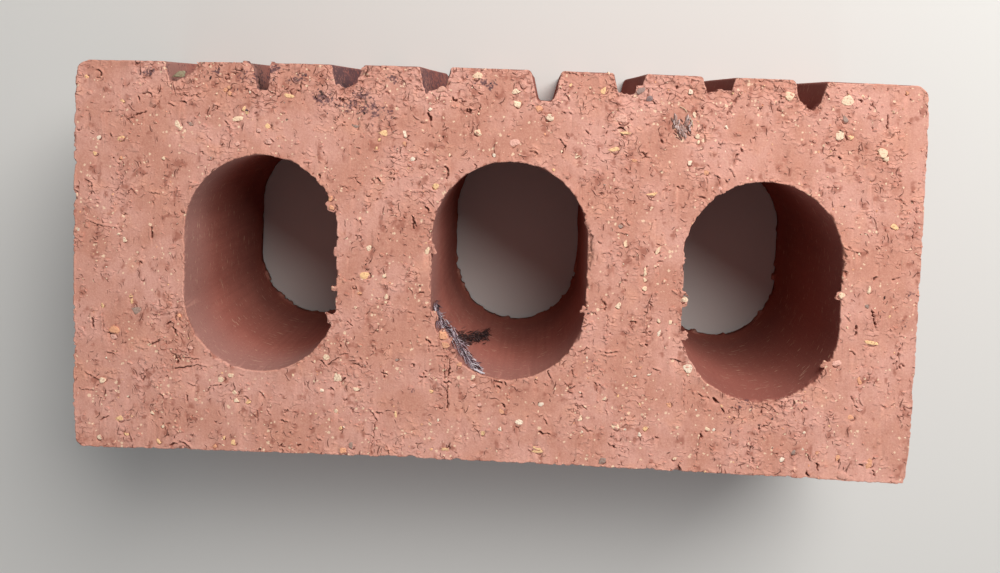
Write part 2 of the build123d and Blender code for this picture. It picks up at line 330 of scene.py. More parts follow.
# Grey and purple dirt on the upper bed: place, reach along and across, strength
DIRT_PATCHES = (
    (-90, 48.4, 3, 1.3, 1), (-91, 31, 4.5, 3.5, 0.4), (89, 26, 5, 4, 0.4),
    (-3, 48.3, 3.8, 1.1, 1.2), (-1, 47.6, 2.6, 0.9, 1.2), (-44.5, 43.2, 4.4, 2.8, 1),
    (-50.8, 47.6, 4, 2.8, 0.9), (-34.4, 44, 3.8, 2.4, 1), (-32, 40.6, 5.4, 2.6, 1),
    (-39, 41.6, 5, 2.4, 0.95), (-27.4, 39, 4, 2.4, 0.8), (-26.5, 48.5, 1.8, 2, 1),
    (-64, 47.8, 4.6, 3, 0.8), (-72.5, 49, 2.6, 2, 0.9), (-57.5, 50, 2.6, 2.2, 0.95),
    (-60.4, 48.5, 2, 3, 0.9), (68, -33, 5.5, 3, 0.8), (78, -32, 4, 2.5, 0.6),
    (-106, -24.5, 2, 1.6, 0.9), (107.6, -10, 2.2, 2, 0.9), (107.8, -2, 1.6, 1.6, 0.8),
    (-19, -33, 1.6, 1.2, 0.9), (-94.5, -10.2, 2.4, 1.6, 0.7), (52, -27, 2.6, 2.6, 0.6),
    (-24.8, 30.5, 2, 2, 0.8), (-12, -49.8, 1.4, 1, 1), (27.6, -22.8, 1.6, 1.2, 0.8),
    (47.5, 38.5, 3, 2.6, 0.5), (-80, 35.2, 1.2, 1, 0.9), (89.2, 41.5, 1.2, 1.6, 0.8),
)
# Dirt on the walls of the keys, from left to right
KEY_DIRT = (0.55, 0.7, 1, 0.85, 0.3, 0.35, 0.3, 0.25)
# Clay that the wire pushed out over a rim: place, half of its sizes and its thickness
BURRS = (
    (-12, -18.9, 2.4, 3.2, 2.6), (-9.4, -23.2, 1.6, 2.2, 1.8), (-14.6, -13.6, 1.2, 2, 1.6),
    (-41.4, 15.9, 1.4, 2.8, 2), (-40.2, 3, 0.9, 1.2, 1.2), (-40.3, -6.6, 0.8, 1, 1.2),
    (24.8, 12.4, 0.9, 1.2, 1.4), (50.3, -6, 1, 1.6, 1.4), (89.8, -3.4, 0.9, 1.2, 1.4),
    (-41.6, -14, 0.9, 1.3, 1.2), (24.6, -9, 0.8, 1.1, 1.2), (50.6, -15.5, 0.9, 1.2, 1.2),
    (-15, 4.6, 0.9, 1.4, 1.2), (86.8, -21.4, 1, 1.2, 1.4), (50.2, 4, 0.7, 1, 1.2),
)
# Crumbs of soil on the upper bed: place, spread and number
SOIL_CLUSTERS = (
    (-44.6, 43.6, 2.2, 16), (-33, 40.4, 2.6, 14), (-51, 48, 2, 8), (-34.5, 44.4, 2, 10),
    (-26.6, 48.6, 1.2, 4), (-64, 47.5, 4, 12), (-73, 49, 2.4, 6), (-3, 49, 1.8, 8),
    (-90, 48.4, 1.4, 5), (68, -33.5, 5, 8), (-20, 30, 2.6, 4), (0, 0, 60, 26),
)
# Lumps of soil and mortar lodged at the keys: place, top below the bed, then half of their sizes
LODGED_LUMPS = (
    ((-82.9, 47.7), 1.1, (1.9, 1.3, 1), (158, 146, 118)),
    ((-81.6, 48.2), 1.3, (1, 0.8, 0.7), (166, 156, 128)),
    ((37.3, 47.4), 0.1, (1.5, 1, 0.6), (168, 142, 134)),
    ((39.4, 45.4), 0.1, (1.1, 1, 0.5), (150, 128, 126)),
    ((-14, 46), 0.15, (1.5, 1.1, 0.9), (222, 168, 148)),
)


def smooth_step(value: Array) -> Array:
    """Ease values from 0 to 1, held at both ends."""
    held = np.clip(value, 0.0, 1.0)
    return held * held * (3.0 - 2.0 * held)


def rounded_max(first: Array, second: Array, radius: Array | float) -> Array:
    """Distance to what two shapes share, its edge rounded.

    Args:
        first: Distances to one shape, negative inside.
        second: Distances to the other.
        radius: Radius of the edge where they meet.

    Returns:
        Distances to the shared shape.
    """
    a = first + radius
    b = second + radius
    outside = np.hypot(np.maximum(a, 0.0), np.maximum(b, 0.0))
    return np.minimum(np.maximum(a, b), 0.0) + outside - radius


@dataclass(frozen=True)
class Clouds:
    """Smooth seeded noise between -1 and 1."""

    seed: int

    def at(self, *axes: Array) -> Array:
        """Noise with cells of one unit at the given coordinates.

        Args:
            axes: Coordinates, one array for each axis.

        Returns:
            The noise at each point.
        """
        cells = [np.floor(axis).astype(np.int64) for axis in axes]
        eased = []
        for axis, cell in zip(axes, cells):
            part = axis - cell
            eased.append(part * part * part * (part * (part * 6.0 - 15.0) + 10.0))
        primes = (73856093, 19349663, 83492791)
        total = 0.0
        for corner in itertools.product((0, 1), repeat=len(axes)):
            weight = 1.0
            key = np.int64(self.seed * 2654435761)
            for cell, ease, step, prime in zip(cells, eased, corner, primes):
                weight = weight * (ease if step else 1.0 - ease)
                key = key ^ ((cell + step) * prime)
            key = (key ^ (key >> 13)) * 1274126177 & 0xFFFFFFFF
            key = (key ^ (key >> 16)) * 668265263 & 0xFFFFFFFF
            total = total + weight * ((key ^ (key >> 15)) / 2147483648.0 - 1.0)
        return total

    def layered(self, *axes: Array, layers: int = 3) -> Array:
        """Noise summed over layers, each twice as fine and half as strong.

        Args:
            axes: Coordinates, one array for each axis.
            layers: Number of layers.

        Returns:
            The noise at each point.
        """
        total = 0.0
        for layer in range(layers):
            fine = 2.0**layer
            shifted = [axis * fine + 17.3 * layer for axis in axes]
            total = total + Clouds(self.seed + layer).at(*shifted) / fine
        return total


@dataclass(frozen=True)
class ColumnSection:
    """Section of the clay column, seen from above, as distances in millimetres."""

    length: float
    width: float
    face_bow: float = 1.0
    header_fall: float = 0.9
    header_fall_run: float = 12.0
    back_left_radius: float = 3.5
    back_right_radius: float = 3.0
    front_left_radius: float = 2.5
    front_right_radius: float = 1.5
    hole_width: float = 40.0
    hole_length: float = 56.8
    left_shell: float = 29.8
    right_shell: float = 19.9
    hole_drifts: tuple[float, ...] = (-0.9, -0.3, -3.2)
    key_mouth: float = 7.8
    key_floor: float = 4.0
    key_depth: float = 7.8
    key_round: float = 0.8
    keys_per_group: int = 4
    key_group_gap: float = 28.6
    left_key_margin: float = 28.0
    right_key_margin: float = 30.4
    key_drifts: tuple[float, ...] = (0.1, -0.9, -0.9, -0.1, -0.2, -1.0, -0.5, 0.4)
    dragged_thickness: float = 4.0
    dragged_fronts: tuple[tuple[Place, ...], ...] = (
        ((-1.1, 0.33), (0.05, 0.35), (0.5, 0.51), (1.1, 0.78)),
        (
            (-1.1, 1.0), (-0.57, 1.0), (-0.33, 0.6), (-0.28, 0.12),
            (0.5, 0.06), (0.58, 0.6), (0.64, 1.0), (1.1, 1.0),
        ),
        ((-1.1, 0.45), (-0.4, 0.3), (0.15, 0.25), (0.45, 0.3), (1.1, 0.45)),
        ((-1.1, 0.38), (-0.5, 0.09), (0.13, 0.28), (1.1, 0.3)),
        (),
        ((-1.1, 0.4), (-0.2, 0.28), (0.35, 0.28), (0.42, 0.55), (1.1, 0.64)),
        ((-1.1, 0.38), (-0.7, 0.43), (-0.1, 0.56), (0.62, 0.53), (1.1, 0.62)),
        ((-1.1, 0.5), (-0.35, 0.2), (0.25, 0.04), (0.7, 0.25), (1.1, 0.6)),
    )
    left_lip_bites: tuple[float, ...] = (0.0, 0.0, 1.6, 0.0, 0.0, 0.0, 0.0, 1.0)
    right_lip_bites: tuple[float, ...] = (1.8, 0.8, 2.4, 0.0, 0.0, 0.0, 0.0, 0.0)
    front_bites: tuple[Place, ...] = ((-0.73, 0.95), (-0.235, 0.6))
    rim_bite: float = 1.4
    rim_bite_share: float = 0.22
    lip_bite_spread: float = 2.7
    front_bite_spread: float = 5.2
    rim_bite_spread: float = 14.3

    @property
    def bow_radius(self) -> float:
        """Radius of the bowed long faces."""
        reach = self.length / 2 - self.header_fall
        return (reach**2 + self.face_bow**2) / (2 * self.face_bow)

    def back_face_y(self, x: float) -> float:
        """Place of the back face across the width at a place along the length."""
        return self.width / 2 - self.bow_radius + math.sqrt(self.bow_radius**2 - x**2)

    def hole_centres(self) -> list[Place]:
        """Centres of the perforations, from left to right.

        Returns:
            Place of each along and across.
        """
        count = len(self.hole_drifts)
        shells = self.left_shell + self.right_shell
        web = (self.length - shells - count * self.hole_width) / (count - 1)
        first = -self.length / 2 + self.left_shell + self.hole_width / 2
        step = self.hole_width + web
        return [(first + index * step, drift) for index, drift in enumerate(self.hole_drifts)]

    def key_centres(self) -> list[float]:
        """Places of the keys along the back face, from left to right.

        Returns:
            Place of each along the length.
        """
        span = self.length - self.left_key_margin - self.right_key_margin - self.key_group_gap
        pitch = span / (2 * (self.keys_per_group - 1))
        first = -self.length / 2 + self.left_key_margin
        left = [first + index * pitch for index in range(self.keys_per_group)]
        right = [left[-1] + self.key_group_gap + index * pitch for index in range(self.keys_per_group)]
        return [place + drift for place, drift in zip(left + right, self.key_drifts)]

    def hole_distance(self, x: Array, y: Array) -> Array:
        """Distance to the nearest perforation, negative inside it.

        Args:
            x: Places along the length.
            y: Places across the width.

        Returns:
            The distances.
        """
        radius = self.hole_width / 2
        straight = self.hole_length / 2 - radius
        nearest = np.full(np.broadcast(x, y).shape, np.inf)
        for centre_x, centre_y in self.hole_centres():
            along = np.maximum(np.abs(y - centre_y) - straight, 0.0)
            nearest = np.minimum(nearest, np.hypot(x - centre_x, along) - radius)
        return nearest

    def key_distance(self, x: Array, y: Array) -> Array:
        """Distance to the nearest key, negative inside it.

        Args:
            x: Places along the length.
            y: Places across the width.

        Returns:
            The distances.
        """
        flare = (self.key_mouth - self.key_floor) / 2 / self.key_depth
        nearest = np.full(np.broadcast(x, y).shape, np.inf)
        for centre in self.key_centres():
            depth = self.back_face_y(centre) - y
            side = (np.abs(x - centre) - self.key_mouth / 2 + flare * depth) / math.hypot(1.0, flare)
            nearest = np.minimum(nearest, rounded_max(side, depth - self.key_depth, self.key_round))
        return nearest

    def dragged_distance(self, x: Array, y: Array) -> Array:
        """Distance to the clay dragged into the keys at the upper bed, negative inside it.

        Args:
            x: Places along the length.
            y: Places across the width.

        Returns:
            The distances.
        """
        nearest = np.full(np.broadcast(x, y).shape, np.inf)
        half = self.key_mouth / 2
        for centre, front in zip(self.key_centres(), self.dragged_fronts):
            if not front:
                continue
            across, up = np.array(front).T
            line_x = centre + across * half
            line_y = self.back_face_y(centre) - self.key_depth + up * self.key_depth
            reach = 0.3
            rise = np.interp(x + reach, line_x, line_y) - np.interp(x - reach, line_x, line_y)
            slope = rise / (2 * reach)
            ahead = (y - np.interp(x, line_x, line_y)) / np.hypot(1.0, slope)
            behind = line_y.min() - half - y
            side = np.abs(x - centre) - 1.1 * half
            nearest = np.minimum(nearest, np.maximum(np.maximum(ahead, behind), side))
        return nearest

    def bite(self, edge: Place, outward: Place, depth: float, spread: float) -> Bite:
        """Bite that goes in from outside and above.

        Args:
            edge: Place on the edge of the upper bed.
            outward: Way out of the clay.
            depth: How deep the bite goes.
            spread: Radius of the bite for each unit of its depth.

        Returns:
            The bite.
        """
        away = (spread - 1.0) * depth / math.sqrt(2)
        length = math.hypot(*outward)
        middle_x = edge[0] + outward[0] / length * away
        return Bite(middle_x, edge[1] + outward[1] / length * away, away, spread * depth)

    def bites(self) -> list[Bite]:
        """Every bite out of the upper bed's edges.

        Returns:
            The bites, those that the solid has before the small ones.
        """
        found = []
        for side, depths in ((-1, self.left_lip_bites), (1, self.right_lip_bites)):
            for centre, depth in zip(self.key_centres(), depths):
                lip_x = centre + side * self.key_mouth / 2
                if depth > 0:
                    lip = (lip_x, self.back_face_y(lip_x))
                    found.append(self.bite(lip, (-side, 1.0), depth, self.lip_bite_spread))
        for share, depth in self.front_bites:
            edge_x = share * self.length / 2
            front_y = self.back_face_y(edge_x) - self.width + self.face_bow
            found.append(self.bite((edge_x, front_y), (0.0, -1.0), depth, self.front_bite_spread))
        hole_x, hole_y = self.hole_centres()[1]
        rim = (hole_x + self.hole_width / 2, hole_y + self.rim_bite_share * self.hole_length / 2)
        found.append(self.bite(rim, (-1.0, 0.0), self.rim_bite, self.rim_bite_spread))
        return found + [self.bite(*chip) for chip in SMALL_CHIPS]

    def corner_radius(self, x: Array, y: Array) -> Array:
        """Radius of the vertical corner in each point's own quarter.

        Args:
            x: Places along the length.
            y: Places across the width.

        Returns:
            The radii.
        """
        back = np.where(x < 0, self.back_left_radius, self.back_right_radius)
        front = np.where(x < 0, self.front_left_radius, self.front_right_radius)
        return np.where(y > 0, back, front)

    def outer_distance(self, x: Array, y: Array) -> Array:
        """Distance to the outline without keys or perforations, negative inside.

        Args:
            x: Places along the length.
            y: Places across the width.

        Returns:
            The distances.
        """
        half_length = self.length / 2
        half_width = self.width / 2
        shoulder = half_width - self.header_fall_run
        across = np.abs(x) - half_length
        slope = across * self.header_fall_run + (np.abs(y) - shoulder) * self.header_fall
        header = np.maximum(across, slope / math.hypot(self.header_fall_run, self.header_fall))
        back_centre = half_width - self.bow_radius
        front_centre = back_centre - self.width + self.face_bow
        back = np.hypot(x, y - back_centre) - self.bow_radius
        front = self.bow_radius - np.hypot(x, y - front_centre)
        return rounded_max(header, np.maximum(back, front), self.corner_radius(x, y))

    def keyed_distance(self, x: Array, y: Array) -> Array:
        """Distance to the section before its perforations, negative in the clay."""
        return rounded_max(self.outer_distance(x, y), -self.key_distance(x, y), self.key_round)

    def distance(self, x: Array, y: Array) -> Array:
        """Distance to the whole section, negative in the clay."""
        return np.maximum(self.keyed_distance(x, y), -self.hole_distance(x, y))


@dataclass
class CutBed:
    """Relief of one wire-cut bed: how far the clay stands below its plane, and where it is torn, which gets
    painted shade on the brick.
    """

    section: ColumnSection
    seed: int
    grid_step: float = 0.1
    grains: int = 420
    hackles: int = 420
    hooks: int = 150
    cracks: int = 26
    readings: BedReadings | None = None
    level: float = -0.38
    margin: float = 2.0
    xs: Array = field(init=False)
    ys: Array = field(init=False)
    inside: Array = field(init=False)
    coarse: Array = field(init=False)
    height: Array = field(init=False)
    torn: Array = field(init=False)

    def __post_init__(self) -> None:
        """Lay out the grid and draw the relief on it."""
        reach_x = self.section.length / 2 + self.margin
        reach_y = self.section.width / 2 + self.margin
        self.xs = np.arange(-reach_x, reach_x, self.grid_step)
        self.ys = np.arange(-reach_y, reach_y, self.grid_step)
        x, y = np.meshgrid(self.xs, self.ys, indexing="ij")
        self.inside = -self.section.distance(x, y)
        self.coarse = self.coarseness(x, y)
        self.torn = np.zeros_like(x)
        self.height = self.wire_marks(x, y)
        self.scales(x, y)
        rng = np.random.default_rng(self.seed)
        if self.readings:
            self.known_marks(rng)
        self.scatter(self.grains, self.draw_grain, rng)
        self.scatter(self.hackles, self.draw_hackle, rng)
        self.scatter(self.hooks, self.draw_hook, rng)
        self.scatter(self.cracks, self.draw_crack, rng)
        self.height = np.minimum(self.height, -0.02)

    def coarseness(self, x: Array, y: Array) -> Array:
        """How roughly the wire tore the clay: most along the keys, a little at the rims.

        Args:
            x: Places along the length.
            y: Places across the width.

        Returns:
            Roughness, where 1 is rough.
        """
        near_keys = smooth_step((17.0 - self.section.key_distance(x, y)) / 14.0)
        near_keys *= smooth_step((y - 38.0) / 8.0)
        near_rims = smooth_step((1.8 - self.inside) / 1.8)
        cloudy = 0.5 + 0.5 * Clouds(self.seed + 40).layered(x / 12.0, y / 12.0, layers=2)
        rows = smooth_step((Clouds(self.seed + 60).layered(x / 3.4, y / 17.0, layers=2) + 0.1) / 0.5)
        total = 0.08 + 0.2 * cloudy + 0.32 * rows + 0.45 * near_keys + 0.3 * near_rims
        if self.readings:
            for patch_x, patch_y, reach in ROUGH_PATCHES:
                total += 0.4 * np.exp(-((x - patch_x) ** 2 + (y - patch_y) ** 2) / (0.6 * reach) ** 2)
        return np.clip(total, 0.05, 1.4)

    def wire_marks(self, x: Array, y: Array) -> Array:
        """Waves and drag lines that run with the wire, and lumps where the clay tore.

        Args:
            x: Places along the length.
            y: Places across the width.

        Returns:
            Height over the plane of the bed.
        """
        waves = 0.07 * Clouds(self.seed + 1).at(x / 27.0, y / 15.0)
        drags = 0.02 * Clouds(self.seed + 2).at(x / 0.9, y / 22.0)
        lumps = np.maximum(Clouds(self.seed + 8).layered(x / 1.9, y / 1.5, layers=2), 0.0)
        return self.level + waves + drags + 0.17 * lumps * np.maximum(self.coarse - 0.4, 0.0)

    def scales(self, x: Array, y: Array) -> None:
        """Overlapping scales where the wire plucked the clay, each steep on its front side.

        Args:
            x: Places along the length.
            y: Places across the width.
        """
        warp = Clouds(self.seed + 15).layered(x / 2.6, y / 3.4, layers=2)
        phase = y / 2.1 + 1.15 * warp
        rise = 1.0 - (phase - np.floor(phase))
        patchy = smooth_step((Clouds(self.seed + 19).layered(x / 5.0, y / 4.0, layers=2) - 0.05) / 0.35)
        strength = patchy * smooth_step((self.coarse - 0.6) / 0.45)
        self.height += 0.42 * strength * (rise - 0.75)
        # The feet of the steep edges are marked as torn, for painted shade
        edge = smooth_step((0.14 - rise) / 0.12)
        self.torn = np.maximum(self.torn, 0.6 * edge * strength)

    def known_marks(self, rng: Rng) -> None:
        """Draw the tears that can be told apart, and a hollow beside each grain that can.

        Args:
            rng: Source of its unevenness.
        """
        for half_width, points in self.readings.tears():
            self.tear(points, 0.55 * half_width, 0.2 + 1.5 * half_width, rng)
        for _, place, size in self.readings.grains():
            self.grain(*place, 0.25 * (size[0] + size[1]), 0.0, 0.45, rng)

    def scatter(self, count: int, draw: Callable[..., None], rng: Rng) -> None:
        """Draw marks at random places on the clay, more of them where it is coarse.

        Args:
            count: Number of marks.
            draw: Method that draws one of them.
            rng: Source of their places.
        """
        placed = 0
        while placed < count:
            x = rng.uniform(self.xs[0], self.xs[-1])
            y = rng.uniform(self.ys[0], self.ys[-1])
            cell = self.cell(x, y)
            if self.inside[cell] < 0.3 or rng.uniform(0.0, 1.2) > self.coarse[cell]:
                continue
            draw(x, y, rng)
            placed += 1

    def draw_grain(self, x: float, y: float, rng: Rng) -> None:
        """A buried grain that lifts the clay, with a hollow on the side the wire left."""
        radius = min(0.34 * rng.lognormal(0.0, 0.45), 1.2)
        self.grain(x, y, radius, radius * rng.uniform(0.15, 0.4), rng.uniform(0.0, 0.6), rng)

    def draw_hackle(self, x: float, y: float, rng: Rng) -> None:
        """A short scale edge across the wire's way.

        Args:
            x: Place along the length.
            y: Place across the width.
            rng: Source of its unevenness.
        """
        heading = rng.choice((0.0, math.pi)) + rng.normal(0.0, 0.4)
        path = self.wander((x, y), rng.uniform(0.3, 1.5), heading, rng.normal(0.0, 0.3), rng)
        self.tear(path, rng.uniform(0.08, 0.15), rng.uniform(0.15, 0.4), rng)

    def draw_hook(self, x: float, y: float, rng: Rng) -> None:
        """A deeper hooked tear.

        Args:
            x: Place along the length.
            y: Place across the width.
            rng: Source of its unevenness.
        """
        heading = rng.choice((0.0, math.pi / 2, math.pi)) + rng.normal(0.0, 0.5)
        path = self.wander((x, y), rng.gamma(2.0, 0.55) + 0.4, heading, rng.normal(0.0, 0.5), rng)
        self.tear(path, rng.uniform(0.11, 0.24), rng.uniform(0.3, 0.65), rng)

    def draw_crack(self, x: float, y: float, rng: Rng) -> None:
        """A thin crack, along the wire's way or across it.

        Args:
            x: Place along the length.
            y: Place across the width.
            rng: Source of its unevenness.
        """
        heading = rng.choice((0.0, math.pi / 2)) + rng.normal(0.0, 0.15)
        path = self.wander((x, y), rng.uniform(1.5, 4.5), heading, rng.normal(0.0, 0.06), rng)
        self.tear(path, 0.1, rng.uniform(0.25, 0.5), rng)

    def cell(self, x: float, y: float) -> tuple[int, int]:
        """Grid cell that holds a place on the bed."""
        return int((x - self.xs[0]) / self.grid_step), int((y - self.ys[0]) / self.grid_step)

    def window(self, low_x: float, low_y: float, high_x: float, high_y: float) -> tuple[slice, slice]:
        """Part of the grid between two corners, kept inside it.

        Args:
            low_x: Lower end along the length.
            low_y: Lower end across the width.
            high_x: Upper end along the length.
            high_y: Upper end across the width.

        Returns:
            The slices along and across.
        """
        low_column, low_row = self.cell(low_x, low_y)
        high_column, high_row = self.cell(high_x, high_y)
        return np.s_[max(low_column, 0) : max(high_column + 2, 0), max(low_row, 0) : max(high_row + 2, 0)]

    def grain(
        self, x: float, y: float, radius: float, rise: float, hollow: float, rng: Rng
    ) -> None:
        """Raise one grain out of the relief, with a crescent hollow beside it.

        Args:
            x: Place along the length.
            y: Place across the width.
            radius: Radius of the grain.
            rise: Height of its top.
            hollow: Depth of the crescent.
            rng: Source of its unevenness.
        """
        reach = radius * 2.0 + 0.3
        part = self.window(x - reach, y - reach, x + reach, y + reach)
        across = self.xs[part[0]][:, None] - x
        along = self.ys[part[1]][None, :] - y
        angle = np.arctan2(along, across)
        uneven = 1.0 + 0.18 * np.cos(2 * angle + rng.uniform(0, 6.3))
        uneven += 0.1 * np.cos(3 * angle + rng.uniform(0, 6.3))
        away = np.hypot(across, along) / (radius * uneven)
        dome = rise * smooth_step((1.25 - away) / 0.7)
        lee = smooth_step(np.cos(angle + math.pi / 2 - 0.4 + rng.normal(0.0, 0.6)) * 1.5 - 0.15)
        thick = 0.17 / radius
        crescent = smooth_step(1.25 - np.abs(away - 1.08) / thick) * lee
        self.height[part] += dome - hollow * crescent
        self.torn[part] = np.maximum(self.torn[part], crescent * min(hollow * 2.4, 1.0))

    def wander(
        self, start: Place, length: float, heading: float, curl: float, rng: Rng
    ) -> list[Place]:
        """Points of a path that curls as it goes.

        Args:
            start: First point.
            length: Length of the path.
            heading: Direction at the start, in radians from the length of the brick.
            curl: Turn for each step, in radians.
            rng: Source of its unevenness.

        Returns:
            Points of the path, a step apart.
        """
        step = 0.4
        points = [start]
        for _ in range(max(1, round(length / step))):
            heading += curl + rng.normal(0.0, 0.4)
            x, y = points[-1]
            points.append((x + step * math.cos(heading), y + step * math.sin(heading)))
        return points

    def tear(
        self, points: Iterable[Place], half_width: float, depth: float, rng: Rng
    ) -> None:
        """Press a tear into the relief along a path, in short uneven stretches.

        Args:
            points: Points that it runs through.
            half_width: Half of its width.
            depth: Its depth.
            rng: Source of its unevenness.
        """
        for start, end in itertools.pairwise(points):
            count = max(1, round(math.dist(start, end) / 0.5))
            stops = [
                (
                    start[0] + (end[0] - start[0]) * index / count + rng.normal(0.0, 0.12),
                    start[1] + (end[1] - start[1]) * index / count + rng.normal(0.0, 0.12),
                )
                for index in range(count + 1)
            ]
            for near, far in itertools.pairwise(stops):
                uneven = rng.uniform(0.45, 1.25)
                self.press(near, far, half_width * uneven, depth * uneven)

    def press(self, start: Place, end: Place, half_width: float, depth: float) -> None:
        """Press one straight stretch of a tear, with a lip raised on one side of it.

        Args:
            start: First end.
            end: Other end.
            half_width: Half of its width.
            depth: Its depth.
        """
        reach = half_width + 0.7
        part = self.window(
            min(start[0], end[0]) - reach,
            min(start[1], end[1]) - reach,
            max(start[0], end[0]) + reach,
            max(start[1], end[1]) + reach,
        )
        x = self.xs[part[0]][:, None] - start[0]
        y = self.ys[part[1]][None, :] - start[1]
        run = (end[0] - start[0], end[1] - start[1])
        share = np.clip((x * run[0] + y * run[1]) / (run[0] ** 2 + run[1] ** 2 + 1e-9), 0.0, 1.0)
        away = np.hypot(x - share * run[0], y - share * run[1])
        groove = smooth_step(1.5 - away / half_width)
        above = (y * run[0] - x * run[1]) * math.copysign(1.0, run[0]) > 0
        lip = 0.5 * depth * np.exp(-((away / 0.42) ** 2)) * above
        before = self.height[part]
        floor = np.minimum(before, self.level - depth)
        self.height[part] = (before + lip) * (1 - groove) + floor * groove
        self.torn[part] = np.maximum(self.torn[part], groove * min(1.0, 0.35 + depth))

    def sample(self, layer: Array, x: Array, y: Array) -> Array:
        """Look up a layer of the grid between its cells.

        Args:
            layer: Layer of the grid.
            x: Places along the length.
            y: Places across the width.

        Returns:
            Its values at those places.
        """
        across = np.clip((x - self.xs[0]) / self.grid_step, 0.0, len(self.xs) - 1.001)
        along = np.clip((y - self.ys[0]) / self.grid_step, 0.0, len(self.ys) - 1.001)
        column = across.astype(int)
        row = along.astype(int)
        part_x = across - column
        part_y = along - row
        near = layer[column, row] * (1 - part_x) + layer[column + 1, row] * part_x
        far = layer[column, row + 1] * (1 - part_x) + layer[column + 1, row + 1] * part_x
        return near * (1 - part_y) + far * part_y


def mesh_from_arrays(name: str, points: Array, faces: Array) -> bpy.types.Mesh:
    """Mesh of equal-sided faces from plain arrays, smooth shaded.

    Args:
        name: Name of the mesh.
        points: Corners in metres, one row each.
        faces: Corner numbers, one row for each face.

    Returns:
        The new mesh.
    """
    mesh = bpy.data.meshes.new(name)
    sides = faces.shape[1]
    mesh.vertices.add(len(points))
    mesh.vertices.foreach_set("co", np.ascontiguousarray(points, dtype=np.float32).ravel())
    mesh.loops.add(faces.size)
    mesh.loops.foreach_set("vertex_index", np.ascontiguousarray(faces, dtype=np.int32).ravel())
    mesh.polygons.add(len(faces))
    mesh.polygons.foreach_set("loop_start", np.arange(0, faces.size, sides, dtype=np.int32))
    mesh.update()
    mesh.shade_smooth()
    return mesh


def points_of(mesh: bpy.types.Mesh) -> Array:
    """Corners of a mesh, one row each, in metres.

    Args:
        mesh: Mesh to read.

    Returns:
        The corners.
    """
    flat = np.empty(len(mesh.vertices) * 3, dtype=np.float32)
    mesh.vertices.foreach_get("co", flat)
    return flat.reshape(-1, 3).astype(np.float64)


def normals_of(mesh: bpy.types.Mesh) -> Array:
    """Outward directions at the corners of a mesh.

    Args:
        mesh: Mesh to read.

    Returns:
        The directions, one row each.
    """
    flat = np.empty(len(mesh.vertices) * 3, dtype=np.float32)
    mesh.vertices.foreach_get("normal", flat)
    return flat.reshape(-1, 3).astype(np.float64)


def paint(mesh: bpy.types.Mesh, name: str, values: Array) -> None:
    """Store a number or a colour for each corner of a mesh, for its material to read.

    Args:
        mesh: Mesh to paint.
        name: Name that the material reads.
        values: A number or a colour for each corner.
    """
    if values.ndim == 1:
        layer = mesh.attributes.new(name, "FLOAT", "POINT")
        layer.data.foreach_set("value", values.astype(np.float32))
        return
    layer = mesh.attributes.new(name, "FLOAT_COLOR", "POINT")
    solid = np.concatenate([values, np.ones((len(values), 1))], axis=1)
    layer.data.foreach_set("color", solid.astype(np.float32).ravel())


def add_object(name: str, mesh: bpy.types.Mesh) -> bpy.types.Object:
    """Put a mesh in the scene as an object at the origin.

    Args:
        name: Name of the object.
        mesh: Its mesh.

    Returns:
        The object.
    """
    piece = bpy.data.objects.new(name, mesh)
    bpy.context.scene.collection.objects.link(piece)
    return piece


